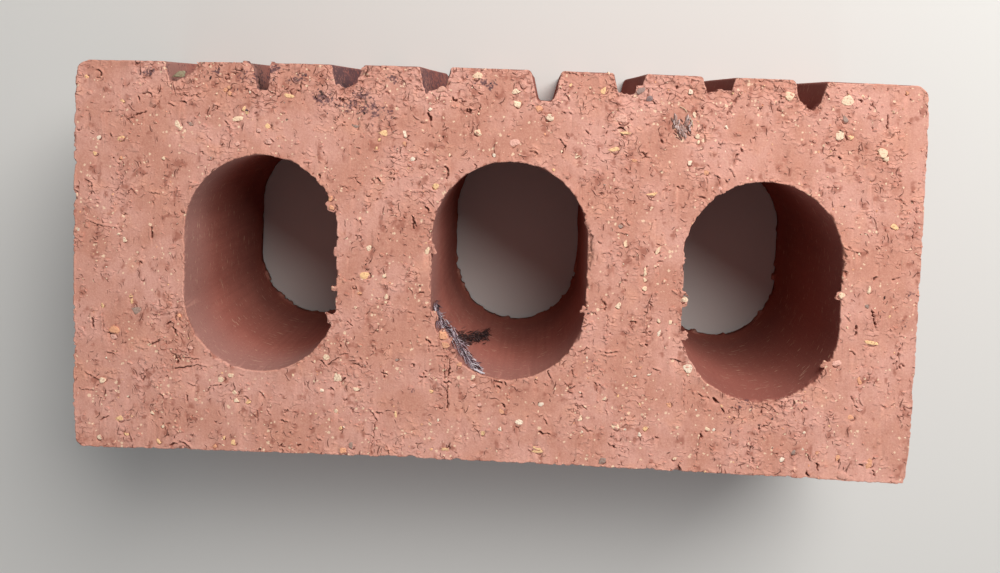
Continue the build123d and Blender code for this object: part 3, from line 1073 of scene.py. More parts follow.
class NodeBoard:
    """Builds a material's nodes with few words."""

    def __init__(self, name: str) -> None:
        """Start an empty material.

        Args:
            name: Name of the material.
        """
        self.material = bpy.data.materials.new(name)
        self.material.use_nodes = True
        self.tree = self.material.node_tree
        self.tree.nodes.clear()
        self.output = self.add("ShaderNodeOutputMaterial")
        self.place = self.add("ShaderNodeTexCoord").outputs["Object"]

    def add(self, kind: str, **settings: object) -> bpy.types.Node:
        """Add one node and set its properties.

        Args:
            kind: Kind of node.
            settings: Its properties.

        Returns:
            The node.
        """
        node = self.tree.nodes.new(kind)
        for key, value in settings.items():
            setattr(node, key, value)
        return node

    def plug(self, socket: Socket, value: object) -> None:
        """Set a socket to a number or a colour, or link another socket to it.

        Args:
            socket: Input to fill.
            value: Number, colour or other socket.
        """
        if isinstance(value, Socket):
            self.tree.links.new(value, socket)
        elif isinstance(value, tuple) and len(value) == 3 and socket.type == "RGBA":
            socket.default_value = (*value, 1.0)
        else:
            socket.default_value = value

    def attribute(self, name: str, output: str = "Fac") -> Socket:
        """Read a number or a colour painted on the mesh."""
        return self.add("ShaderNodeAttribute", attribute_name=name).outputs[output]

    def stretched(self, x: float, y: float, z: float) -> Socket:
        """The place on the object with each axis scaled.

        Args:
            x: Scale along the length.
            y: Scale across the width.
            z: Scale of the height.

        Returns:
            The scaled place.
        """
        node = self.add("ShaderNodeMapping")
        self.plug(node.inputs["Vector"], self.place)
        node.inputs["Scale"].default_value = (x, y, z)
        return node.outputs["Vector"]

    def noise(
        self, scale: float, detail: float = 2.0, vector: object = None, roughness: float = 0.55
    ) -> Socket:
        """Noise between 0 and 1, with cells of 1 / scale metres.

        Args:
            scale: Number of cells to a metre.
            detail: Number of finer layers.
            vector: Place that it is laid at.
            roughness: Strength of the finer layers.

        Returns:
            The noise.
        """
        node = self.add("ShaderNodeTexNoise")
        self.plug(node.inputs["Vector"], vector or self.place)
        node.inputs["Scale"].default_value = scale
        node.inputs["Detail"].default_value = detail
        node.inputs["Roughness"].default_value = roughness
        return node.outputs["Fac"]

    def warped(self, scale: float, reach: float) -> Socket:
        """The place on the object, pushed about by noise by up to reach metres.

        Args:
            scale: Number of the noise's cells to a metre.
            reach: Farthest push.

        Returns:
            The moved place.
        """
        node = self.add("ShaderNodeTexNoise")
        self.plug(node.inputs["Vector"], self.place)
        node.inputs["Scale"].default_value = scale
        node.inputs["Detail"].default_value = 1.0
        centred = self.vector("SUBTRACT", node.outputs["Color"], (0.5, 0.5, 0.5))
        scaled = self.vector("MULTIPLY", centred, (2.0 * reach, 2.0 * reach, 0.0))
        return self.vector("ADD", self.place, scaled)

    def vector(self, operation: str, first: object, second: object) -> Socket:
        """One step of arithmetic on vectors.

        Args:
            operation: Its name.
            first: First value.
            second: Second value.

        Returns:
            The result.
        """
        node = self.add("ShaderNodeVectorMath", operation=operation)
        self.plug(node.inputs[0], first)
        self.plug(node.inputs[1], second)
        return node.outputs[0]

    def ramp(
        self, value: object, low: float, high: float, to_low: float = 0.0, to_high: float = 1.0
    ) -> Socket:
        """Ease a value from to_low at low to to_high at high.

        Args:
            value: Value to ease.
            low: Where the easing starts.
            high: Where it ends.
            to_low: Result below low.
            to_high: Result above high.

        Returns:
            The eased value.
        """
        node = self.add("ShaderNodeMapRange", interpolation_type="SMOOTHSTEP")
        self.plug(node.inputs["Value"], value)
        node.inputs["From Min"].default_value = low
        node.inputs["From Max"].default_value = high
        node.inputs["To Min"].default_value = to_low
        node.inputs["To Max"].default_value = to_high
        return node.outputs["Result"]

    def math(self, operation: str, *values: object) -> Socket:
        """One arithmetic step.

        Args:
            operation: Its name.
            values: What it works on.

        Returns:
            The result.
        """
        node = self.add("ShaderNodeMath", operation=operation)
        for socket, value in zip(node.inputs, values):
            self.plug(socket, value)
        return node.outputs[0]

    def product(self, *values: object) -> Socket:
        """All the values multiplied.

        Args:
            values: What is multiplied.

        Returns:
            The product.
        """
        total = values[0]
        for value in values[1:]:
            total = self.math("MULTIPLY", total, value)
        return total

    def mix(self, share: object, first: object, second: object) -> Socket:
        """A colour between two, by share.

        Args:
            share: Share of the second.
            first: First colour.
            second: Second colour.

        Returns:
            The colour.
        """
        node = self.add("ShaderNodeMix", data_type="RGBA")
        self.plug(node.inputs["Factor"], share)
        self.plug(node.inputs["A"], first)
        self.plug(node.inputs["B"], second)
        return node.outputs["Result"]

    def strokes(
        self, scale: float, reach: float, width: float, share: float, where: object
    ) -> tuple[Socket, Socket]:
        """Short hooked strokes, one in each chosen cell of a grid laid on the bed.

        Args:
            scale: Number of cells to a metre.
            reach: Half of a stroke's length in metres.
            width: Half of its width in metres.
            share: Share of the cells that have one.
            where: Place that the strokes are drawn at.

        Returns:
            How much each place is inside a stroke, and on the lip above it.
        """
        cells = self.add("ShaderNodeTexVoronoi", voronoi_dimensions="2D", feature="F1")
        self.plug(cells.inputs["Vector"], where)
        cells.inputs["Scale"].default_value = scale
        chance = self.add("ShaderNodeSeparateColor")
        self.plug(chance.inputs[0], cells.outputs["Color"])
        turn = self.add("ShaderNodeVectorRotate", rotation_type="Z_AXIS")
        self.plug(turn.inputs["Vector"], self.vector("SUBTRACT", where, cells.outputs["Position"]))
        self.plug(turn.inputs["Angle"], self.ramp(chance.outputs[0], 0.0, 1.0, -1.9, 1.9))
        local = self.add("ShaderNodeSeparateXYZ")
        self.plug(local.inputs[0], turn.outputs[0])
        along = self.math("ABSOLUTE", local.outputs["X"])
        ahead = self.math("MAXIMUM", local.outputs["X"], 0.0)
        hook = self.ramp(chance.outputs[1], 0.0, 1.0, -1.4 / reach, 1.4 / reach)
        bow = self.product(hook, ahead, ahead)
        across = self.math("ADD", local.outputs["Y"], bow)
        tapered = self.ramp(along, 0.35 * reach, reach, 1.0, 0.0)
        chosen = self.ramp(chance.outputs[2], 1.0 - share, 1.0 - share + 0.02)
        inside = self.ramp(self.math("ABSOLUTE", across), 0.35 * width, width, 1.0, 0.0)
        beside = self.math("ABSOLUTE", self.math("SUBTRACT", across, 1.7 * width))
        lip = self.ramp(beside, 0.4 * width, 1.3 * width, 1.0, 0.0)
        return self.product(inside, tapered, chosen), self.product(lip, tapered, chosen)

    def bump(self, height: object, distance: float, under: object = None) -> Socket:
        """Tilt the surface by a height given in shares of distance metres.

        Args:
            height: The height.
            distance: Metres that a height of 1 stands for.
            under: Normal that is tilted further.

        Returns:
            The tilted normal.
        """
        node = self.add("ShaderNodeBump")
        self.plug(node.inputs["Height"], height)
        node.inputs["Distance"].default_value = distance
        if under is not None:
            self.plug(node.inputs["Normal"], under)
        return node.outputs["Normal"]

    def finish(
        self, colour: object, roughness: float, normal: object, specular: float = 0.3
    ) -> bpy.types.Material:
        """Close the material with one surface shader.

        Args:
            colour: Colour of the surface.
            roughness: How matt it is.
            normal: Its tilted normal, if it has one.
            specular: Strength of its shine.

        Returns:
            The material.
        """
        shader = self.add("ShaderNodeBsdfPrincipled")
        self.plug(shader.inputs["Base Color"], colour)
        self.plug(shader.inputs["Roughness"], roughness)
        shader.inputs["Specular IOR Level"].default_value = specular
        if normal is not None:
            self.plug(shader.inputs["Normal"], normal)
        self.plug(self.output.inputs["Surface"], shader.outputs["BSDF"])
        return self.material


@dataclass(frozen=True)
class FiredClay:
    """Finish of the brick: salmon clay, redder where the die drew a skin on it, with light and shade painted
    at its marks and on its walls.
    """

    height: float
    cut_clay: Colour = srgb(207, 145, 125)
    # Pale clay, and also the painted highlight on lips and ledges
    cut_pale: Colour = srgb(223, 165, 149)
    cut_warm: Colour = srgb(219, 151, 120)
    cut_deep: Colour = srgb(166, 102, 85)
    drawn_skin: Colour = srgb(175, 106, 92)
    drawn_deep: Colour = srgb(150, 86, 75)
    # Paler band under the upper bed: partly bloom, partly painted light
    drawn_bloom_and_light: Colour = srgb(176, 128, 118)
    # Painted light on the lower rims
    drawn_red: Colour = srgb(204, 112, 92)
    # Painted shade in the fine marks and at the feet of the ledges, and dark fine grain on the drawn faces
    crack: Colour = srgb(118, 60, 47)
    # Painted shade in the floors of the tears
    tear_shade: Colour = srgb(104, 52, 41)
    pale_speck: Colour = srgb(252, 218, 184)
    dirt: Colour = srgb(88, 62, 70)

    def material(self) -> bpy.types.Material:
        """Build the material.

        Returns:
            The material.
        """
        board = NodeBoard("fired_clay")
        fuzz = board.noise(2000.0, 3.0, roughness=0.7)
        coarse = board.attribute("coarse")
        bed = self.bed(board, fuzz)
        where = board.warped(650.0, 0.0003)
        torn = self.torn_share(board, coarse)
        dark, lip = self.marks(board, where, torn)
        steps, foot_shade = self.terraces(board, coarse)
        colour = board.mix(bed, self.skin(board, fuzz), self.cut(board, fuzz, torn))
        # Painted highlight on the lips of the fine marks and on the ledge tops; painted shade inside the
        # marks and at the ledges' feet
        raised = board.product(board.math("MAXIMUM", lip, steps), bed, 0.32)
        painted_shade = board.product(board.math("MAXIMUM", dark, foot_shade), bed, 0.77)
        colour = board.mix(painted_shade, board.mix(raised, colour, self.cut_pale), self.crack)
        colour = self.specks(board, where, bed, fuzz, colour)
        colour = board.mix(self.dirty(board), colour, self.dirt)
        # Painted shade darkens the floors of the tears
        tear = board.ramp(board.attribute("tear"), 0.2, 0.9, 0.0, 0.85)
        colour = board.mix(tear, colour, self.tear_shade)
        height = board.math("ADD", board.product(fuzz, 0.3), board.product(lip, bed, 0.3))
        height = board.math("SUBTRACT", height, board.product(dark, bed, 0.7))
        height = board.math("ADD", height, board.product(steps, bed, 0.8))
        return board.finish(colour, 0.9, board.bump(height, 0.00028))

    def bed(self, board: NodeBoard, fuzz: object) -> object:
        """Where the clay is cut or broken, and not drawn by the die.

        Args:
            board: Nodes of the material.
            fuzz: Finest noise of the clay.

        Returns:
            Share that is cut or broken.
        """
        apart = board.add("ShaderNodeSeparateXYZ")
        board.plug(apart.inputs[0], board.place)
        level = board.math("ADD", apart.outputs["Z"], board.product(fuzz, 0.0012))
        upper = board.ramp(level, self.height - 0.0006, self.height + 0.0001)
        lower = board.ramp(level, 0.0010, 0.0018, 1.0, 0.0)
        return board.math("MAXIMUM", board.math("MAXIMUM", upper, lower), board.attribute("broken"))

    def torn_share(self, board: NodeBoard, coarse: object) -> object:
        """How thickly the fine marks stand: in clumps, and all over where the bed is coarse.

        Args:
            board: Nodes of the material.
            coarse: How coarsely the clay is torn.

        Returns:
            Share of the marks that show.
        """
        rows = board.noise(1.0, 2.0, board.stretched(330.0, 110.0, 110.0))
        clumps = board.math("ADD", rows, board.product(coarse, 0.22))
        return board.ramp(clumps, 0.55, 0.67)

    def marks(self, board: NodeBoard, where: object, torn: object) -> tuple[object, object]:
        """Fine torn marks of two sizes: where they are sunk and get painted shade, and where their lips get
        a painted highlight.

        Args:
            board: Nodes of the material.
            where: Place that the marks are laid at.
            torn: How thickly the fine marks stand.

        Returns:
            The painted shade and the lips.
        """
        fine = board.strokes(520.0, 0.0007, 0.00012, 0.5, where)
        broad = board.strokes(215.0, 0.0016, 0.00018, 0.7, where)
        dark = board.product(board.math("MAXIMUM", fine[0], broad[0]), torn)
        return dark, board.product(board.math("MAXIMUM", fine[1], broad[1]), torn)

    def terraces(self, board: NodeBoard, coarse: object) -> tuple[object, object]:
        """Ledges across the wire's way in the coarse places: their height, which also gives them a painted
        highlight, and the painted shade at their feet.

        Args:
            board: Nodes of the material.
            coarse: How coarsely the clay is torn.

        Returns:
            The height, and the painted shade at the feet.
        """
        wave = board.add("ShaderNodeTexWave", wave_type="BANDS", bands_direction="Y", wave_profile="SAW")
        board.plug(wave.inputs["Vector"], board.place)
        for name, value in (("Scale", 190.0), ("Distortion", 9.0), ("Detail", 2.0), ("Detail Scale", 2.2)):
            wave.inputs[name].default_value = value
        patches = board.math("ADD", board.noise(300.0, 2.0), board.product(coarse, 0.24))
        share = board.ramp(patches, 0.62, 0.78)
        saw = wave.outputs["Fac"]
        high = board.product(board.ramp(saw, 0.0, 1.0, 1.0, 0.0), share)
        return high, board.product(board.ramp(saw, 0.82, 0.97), share)

    def cut(self, board: NodeBoard, fuzz: object, torn: object) -> object:
        """Colour of the cut bed: pale and warm clouds, fine dark and light grain, and mottled painted shade
        round the torn marks.

        Args:
            board: Nodes of the material.
            fuzz: Finest noise of the clay.
            torn: How thickly the fine marks stand.

        Returns:
            The colour.
        """
        colour = board.mix(board.ramp(board.noise(75.0, 3.0), 0.35, 0.65), self.cut_clay, self.cut_pale)
        colour = board.mix(board.ramp(board.noise(150.0, 2.0), 0.5, 0.75, 0.0, 0.45), colour, self.cut_warm)
        colour = board.mix(board.ramp(fuzz, 0.3, 0.52, 0.26, 0.0), colour, self.cut_deep)
        colour = board.mix(board.ramp(fuzz, 0.52, 0.74, 0.0, 0.22), colour, self.pale_speck)
        colour = board.mix(board.ramp(board.noise(250.0, 2.0), 0.5, 0.72, 0.0, 0.16), colour, self.cut_deep)
        # Mottled painted shade round the torn marks
        torn_shade = board.ramp(board.noise(430.0, 2.0), 0.5, 0.66)
        return board.mix(board.product(torn_shade, torn, 0.75), colour, self.cut_deep)

    def skin(self, board: NodeBoard, fuzz: object) -> object:
        """Colour of the drawn faces: faint streaks along the way the clay was pushed, a paler band under the
        upper bed that is partly bloom and partly painted light, painted shade towards the right end, painted
        light near the lower bed, pale dashes and fine grain.

        Args:
            board: Nodes of the material.
            fuzz: Finest noise of the clay.

        Returns:
            The colour.
        """
        lines = board.noise(1.0, 2.0, board.stretched(900.0, 900.0, 30.0))
        colour = board.mix(board.ramp(lines, 0.3, 0.7, 0.0, 0.35), self.drawn_skin, self.drawn_deep)
        colour = board.mix(board.ramp(board.noise(60.0, 2.0), 0.4, 0.7, 0.0, 0.4), colour, self.drawn_deep)
        apart = board.add("ShaderNodeSeparateXYZ")
        board.plug(apart.inputs[0], board.place)
        # Paler, greyer band under the upper bed, strongest at the left end: partly bloom, partly painted
        # light on the walls of the left-hand perforations
        bloom_and_light_band = board.ramp(apart.outputs["Z"], self.height - 0.026, self.height - 0.002)
        stronger_to_left = board.ramp(apart.outputs["X"], -0.08, 0.07, 0.85, 0.15)
        colour = board.mix(board.product(bloom_and_light_band, stronger_to_left), colour, self.drawn_bloom_and_light)
        # Darker towards the right end: painted shade on the walls of the right-hand perforation
        colour = board.mix(board.ramp(apart.outputs["X"], 0.02, 0.075, 0.0, 0.6), colour, self.drawn_deep)
        # Lighter and redder near the lower bed: painted light on the lower rims
        colour = board.mix(board.ramp(apart.outputs["Z"], 0.001, 0.014, 0.5, 0.0), colour, self.drawn_red)
        dashes = board.noise(1.0, 2.0, board.stretched(330.0, 330.0, 1700.0))
        colour = board.mix(board.ramp(dashes, 0.64, 0.74, 0.0, 0.4), colour, self.pale_speck)
        colour = board.mix(board.ramp(fuzz, 0.3, 0.42, 0.4, 0.0), colour, self.crack)
        return board.mix(board.ramp(fuzz, 0.62, 0.78, 0.0, 0.45), colour, self.pale_speck)

    def specks(self, board: NodeBoard, where: object, bed: object, fuzz: object, colour: object) -> object:
        """Scatter fine pale specks of grit.

        Args:
            board: Nodes of the material.
            where: Place that the marks are laid at.
            bed: Where the clay is cut.
            fuzz: Finest noise of the clay.
            colour: Colour under it.

        Returns:
            The colour with the specks in it.
        """
        clumps = board.math("MULTIPLY_ADD", board.noise(190.0, 2.0), 0.8, -0.4)
        for scale, share, size in ((560.0, 0.03, 0.3), (1150.0, 0.05, 0.4)):
            cells = board.add("ShaderNodeTexVoronoi", voronoi_dimensions="2D", feature="F1")
            board.plug(cells.inputs["Vector"], where)
            cells.inputs["Scale"].default_value = scale
            chance = board.add("ShaderNodeSeparateColor")
            board.plug(chance.inputs[0], cells.outputs["Color"])
            likely = board.math("ADD", chance.outputs[0], clumps)
            chosen = board.ramp(likely, 1.0 - share, 1.02 - share)
            reach = board.ramp(chance.outputs[1], 0.0, 1.0, 0.3 * size, size)
            uneven = board.math("MULTIPLY_ADD", fuzz, 0.5, -0.25)
            inside = board.math("SUBTRACT", board.math("ADD", reach, uneven), cells.outputs["Distance"])
            disc = board.ramp(inside, 0.0, 0.1)
            colour = board.mix(board.product(chosen, disc, bed, 0.75), colour, self.pale_speck)
        return colour

    def dirty(self, board: NodeBoard) -> object:
        """Where the painted dirt lies, broken up into specks and smears.

        Args:
            board: Nodes of the material.

        Returns:
            Share of dirt.
        """
        broad = board.product(board.noise(430.0), 0.4)
        grain = board.math("MULTIPLY_ADD", board.noise(1300.0, 2.0), 0.6, broad)
        total = board.math("MULTIPLY_ADD", board.attribute("dirt"), 0.36, grain)
        return board.ramp(total, 0.74, 0.85, 0.0, 0.82)


@dataclass(frozen=True)
class PaintedStone:
    """Finish of loose and embedded bits, each in its own painted colour."""

    roughness: float = 0.8
    unevenness: float = 0.45
    fineness: float = 1900.0
    stain: Colour = srgb(140, 84, 64)

    def material(self, name: str) -> bpy.types.Material:
        """Build the material.

        Args:
            name: Name of the material.

        Returns:
            The material.
        """
        board = NodeBoard(name)
        grain = board.noise(self.fineness, 2.0)
        tint = board.attribute("tint", "Color")
        shade = board.mix(board.ramp(grain, 0.34, 0.5, self.unevenness, 0.0), tint, self.stain)
        return board.finish(shade, self.roughness, board.bump(grain, 0.0002))


@dataclass
class BrickBody:
    """The brick itself, as one closed mesh with its torn beds and drawn faces."""

    section: ColumnSection
    height: float
    upper: CutBed
    lower: CutBed
    limits: Limits
    voxel: Triple = (0.22, 0.22, 0.5)
    margin: float = 1.5
    band: float = 1.2
    arris: float = 0.25
    fringe_height: float = 2.0
    upper_zone: float = 2.0
    faces_below: int = 52000
    faces_upper: int = 146000

    def axis(self, low: float, high: float, step: float) -> Array:
        """Places of the grid's layers between two limits and a margin beyond."""
        return np.arange(low - self.margin, high + self.margin, step)

    def ragged(self, x: Array, y: Array, seed: int) -> Array:
        """How far a rim is bitten back: teeth of a millimetre or two, never outwards.

        Args:
            x: Places along the length.
            y: Places across the width.
            seed: Seed of the rim.

        Returns:
            How far it is bitten back.
        """
        teeth = Clouds(seed).layered(x / 1.1, y / 1.1, layers=2)
        notches = Clouds(seed + 5).at(x / 2.4, y / 2.4)
        bites = Clouds(seed + 9).at(x / 6.5, y / 6.5)
        worst = np.zeros_like(x)
        for rim_x, rim_y, reach in RAGGED_RIMS:
            worst = np.maximum(worst, np.exp(-((x - rim_x) ** 2 + (y - rim_y) ** 2) / (0.8 * reach) ** 2))
        small = (0.3 + 0.55 * worst) * np.maximum(teeth + 0.05, 0.0)
        middle = (0.75 + 2.0 * worst) * np.maximum(notches - 0.35, 0.0)
        return small + middle + 1.0 * np.maximum(bites - 0.6, 0.0)

    def fringe(self, x: Array, y: Array) -> Array:
        """How far clay dragged over the lower rims of the perforations hangs inwards.

        Args:
            x: Places along the length.
            y: Places across the width.

        Returns:
            How far it hangs inwards.
        """
        towards_front = smooth_step((-4.0 - y) / 10.0)
        uneven = Clouds(611).layered(x / 2.3, y / 2.3, layers=3)
        patchy = Clouds(615).at(x / 9.0, y / 9.0)
        return np.clip(0.3 + 1.0 * uneven + 0.6 * patchy, 0.0, 1.9) * (0.3 + 0.7 * towards_front)

    def damaged(
        self, here: Array, x: Array, y: Array, z: float, rough: Array
    ) -> Array:
        """Distances in one layer near the upper bed, with the dragged clay added and the bites taken out.

        Args:
            here: Distances in the layer.
            x: Places along the length.
            y: Places across the width.
            z: Height of the layer.
            rough: Unevenness of every broken edge.

        Returns:
            The changed distances.
        """
        thickness = self.section.dragged_thickness
        slab = abs(z - self.height + 0.15 + thickness / 2) - thickness / 2
        dragged = self.section.dragged_distance(x, y) + rough
        here = np.minimum(here, rounded_max(dragged, np.full_like(here, slab), 0.5))
        for burr_x, burr_y, half_x, half_y, thick in BURRS:
            across = np.hypot((x - burr_x) / half_x, (y - burr_y) / half_y)
            side = (across - 1.0) * min(half_x, half_y) + 1.3 * rough
            level = np.full_like(here, abs(z - self.height + 0.1 + thick / 2) - thick / 2)
            here = np.minimum(here, rounded_max(side, level, 0.5))
        for bite in self.section.bites():
            out = np.sqrt((x - bite.x) ** 2 + (y - bite.y) ** 2 + (z - self.height - bite.over) ** 2)
            here = np.maximum(here, bite.radius - out - 0.6 * np.abs(rough))
        return here

    def distances(self) -> tuple[Array, Triple]:
        """Distances to the brick on a grid of voxels, and the grid's first corner.

        Returns:
            The distances, and the place of the first voxel.
        """
        xs = self.axis(-self.section.length / 2, self.section.length / 2, self.voxel[0])
        ys = self.axis(-self.section.width / 2, self.section.width / 2, self.voxel[1])
        zs = self.axis(0.0, self.height, self.voxel[2])
        x, y = np.meshgrid(xs, ys, indexing="ij")
        keyed = self.section.keyed_distance(x, y)
        holes = -self.section.hole_distance(x, y)
        flat = np.maximum(keyed, holes)
        fringe = self.fringe(x, y)
        grid = np.empty((len(xs), len(ys), len(zs)), dtype=np.float32)
        upper_teeth = self.ragged(x, y, 301)
        lower_teeth = self.ragged(x, y, 401)
        rough = 0.45 * Clouds(501).layered(x / 1.3, y / 1.3, layers=2)
        for layer, z in enumerate(zs):
            from_bed = min(abs(self.height - z), abs(z))
            teeth = upper_teeth if z > self.height / 2 else lower_teeth
            bitten = flat + teeth * math.exp(-((from_bed / 1.2) ** 2)) if from_bed < 4.5 else flat
            if z < self.fringe_height:
                inwards = fringe * (1.0 - max(z, 0.0) / self.fringe_height) ** 0.5
                bitten = np.minimum(bitten, np.maximum(keyed + teeth, holes - inwards))
            beds = abs(z - self.height / 2) - self.height / 2
            here = rounded_max(bitten, np.full_like(flat, beds), self.arris)
            if abs(self.height - z) < self.section.dragged_thickness + self.band:
                here = self.damaged(here, x, y, z, rough)
            grid[:, :, layer] = np.clip(here, -self.band, self.band)
        return grid, (xs[0], ys[0], zs[0])

    def raw_mesh(self) -> bpy.types.Mesh:
        """Surface of the brick with every voxel's detail, before it is sculpted.

        Returns:
            The mesh.
        """
        distances, corner = self.distances()
        volume = openvdb.FloatGrid(self.band)
        volume.copyFromArray(distances)
        points, quads = volume.convertToQuads(isovalue=0.0)
        return mesh_from_arrays("raw", (points * np.array(self.voxel) + np.array(corner)) * MM, quads)

    def sculpt(self, mesh: bpy.types.Mesh) -> None:
        """Push the surface in by its relief, on the beds and on the drawn faces.

        Args:
            mesh: Mesh of the brick.
        """
        points = points_of(mesh) / MM
        normals = normals_of(mesh)
        x, y, z = points.T
        up = smooth_step((normals[:, 2] - 0.5) / 0.35) * (z > self.height - 1.2)
        down = smooth_step((-normals[:, 2] - 0.5) / 0.35) * (z < 1.2)
        wall = 1.0 - np.maximum(up, down)
        shift = up * self.upper.sample(self.upper.height, x, y)
        shift += down * self.lower.sample(self.lower.height, x, y)
        swell = 0.07 * Clouds(75).layered(x / 12.0, y / 12.0, z / 30.0, layers=2) - 0.09
        shift += wall * np.minimum(swell, 0.0)
        moved = (points + normals * shift[:, None]) * MM
        mesh.vertices.foreach_set("co", moved.astype(np.float32).ravel())
        mesh.update()

    def fewer_faces(self, mesh: bpy.types.Mesh, free: Array, target: int) -> bpy.types.Mesh:
        """The mesh cut down to a number of faces by joining only the free corners.

        Args:
            mesh: Mesh to cut down, which is removed.
            free: Which corners may be joined.
            target: Number of triangles to keep in all.

        Returns:
            A new mesh of triangles.
        """
        rough = add_object("rough_brick", mesh)
        group = rough.vertex_groups.new(name="free")
        group.add(np.nonzero(free)[0].tolist(), 1.0, "REPLACE")
        modifier = rough.modifiers.new("fewer", "DECIMATE")
        modifier.vertex_group = group.name
        triangles = len(mesh.loops) - 2 * len(mesh.polygons)
        modifier.ratio = target / triangles
        modifier.use_collapse_triangulate = True
        evaluated = rough.evaluated_get(bpy.context.evaluated_depsgraph_get())
        result = bpy.data.meshes.new_from_object(evaluated)
        bpy.data.objects.remove(rough)
        bpy.data.meshes.remove(mesh)
        return result

    def ring(self, mesh: bpy.types.Mesh) -> Array:
        """Which corners stand on the walls in the layer just over the fringe."""
        over = points_of(mesh)[:, 2] / MM - self.fringe_height - 2 * self.voxel[2]
        return np.abs(over) < 0.6 * self.voxel[2]

    def lightened(self, mesh: bpy.types.Mesh) -> bpy.types.Mesh:
        """Cut down the plain faces first, and then the upper bed, which keeps the most.

        Args:
            mesh: Mesh to cut down, which is removed.

        Returns:
            The lighter mesh.
        """
        upper = points_of(mesh)[:, 2] / MM > self.height - self.upper_zone
        corners = np.empty(len(mesh.loops), dtype=np.int32)
        mesh.loops.foreach_get("vertex_index", corners)
        upper_triangles = 2 * int(upper[corners.reshape(-1, 4)].all(axis=1).sum())
        mesh = self.fewer_faces(mesh, ~upper & ~self.ring(mesh), upper_triangles + self.faces_below)
        upper = points_of(mesh)[:, 2] / MM > self.height - self.upper_zone
        return self.fewer_faces(mesh, upper, self.faces_upper + self.faces_below)

    def keep_inside(self, mesh: bpy.types.Mesh) -> None:
        """Hold every corner inside the brick's box.

        Args:
            mesh: Mesh of the brick.
        """
        held = np.clip(points_of(mesh), *self.limits)
        mesh.vertices.foreach_set("co", held.astype(np.float32).ravel())
        mesh.update()

    def paint_masks(self, mesh: bpy.types.Mesh) -> None:
        """Store where the clay is broken and coarse, where its tears get painted shade, and where it is
        dirty.

        Args:
            mesh: Mesh of the brick.
        """
        points = points_of(mesh) / MM
        facing = normals_of(mesh)[:, 2]
        x, y, z = points.T
        near_beds = np.maximum(smooth_step(z - self.height + 6.0), smooth_step(3.0 - z))
        paint(mesh, "broken", near_beds * smooth_step((facing - 0.2) / 0.4))
        top = smooth_step((z - self.height + 1.9) / 0.5)
        low = smooth_step((1.9 - z) / 0.5)
        # Where the clay is torn, its colour gets painted shade
        tear = top * self.upper.sample(self.upper.torn, x, y)
        tear += low * self.lower.sample(self.lower.torn, x, y)
        paint(mesh, "tear", tear * smooth_step((np.abs(facing) - 0.1) / 0.3))
        coarse_above = self.upper.sample(self.upper.coarse, x, y)
        coarse_below = self.lower.sample(self.lower.coarse, x, y)
        paint(mesh, "coarse", np.where(z > self.height / 2, coarse_above, coarse_below))
        dirt = np.zeros_like(x)
        for patch_x, patch_y, reach_x, reach_y, strength in DIRT_PATCHES:
            away = ((x - patch_x) / reach_x) ** 2 + ((y - patch_y) / reach_y) ** 2
            dirt = np.maximum(dirt, strength * np.exp(-away))
        dirt *= smooth_step((z - self.height + 3.0) / 1.5)
        for centre, strength in zip(self.section.key_centres(), KEY_DIRT):
            within = smooth_step((self.section.key_mouth / 2 + 0.8 - np.abs(x - centre)) / 0.6)
            walls = smooth_step((y - self.section.back_face_y(centre) + self.section.key_depth + 1.0) / 0.8)
            dirt = np.maximum(dirt, strength * within * walls * smooth_step((0.6 - facing) / 0.3))
        paint(mesh, "dirt", dirt)

    def build(self) -> bpy.types.Object:
        """Make the brick, dress it and let it stand for its node.

        Returns:
            The piece.
        """
        mesh = self.raw_mesh()
        self.sculpt(mesh)
        mesh = self.lightened(mesh)
        mesh.name = "fired_brick"
        mesh.shade_smooth()
        self.keep_inside(mesh)
        self.paint_masks(mesh)
        mesh.materials.clear()
        mesh.materials.append(FiredClay(self.height * MM).material())
        piece = add_object("fired_brick", mesh)
        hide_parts(NODE)
        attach(piece, BODY)
        return piece


# Spread of the sizes of grains and crumbs, as the logarithm's deviation
SIZE_SPREAD = 0.45


def ball(fineness: int) -> tuple[Array, Array]:
    """Corners and triangles of a ball of radius 1.

    Args:
        fineness: How often its faces are divided.

    Returns:
        The corners, and the triangles between them.
    """
    shape = bmesh.new()
    bmesh.ops.create_icosphere(shape, subdivisions=fineness, radius=1.0)
    points = np.array([corner.co[:] for corner in shape.verts])
    faces = np.array([[corner.index for corner in face.verts] for face in shape.faces])
    shape.free()
    return points, faces


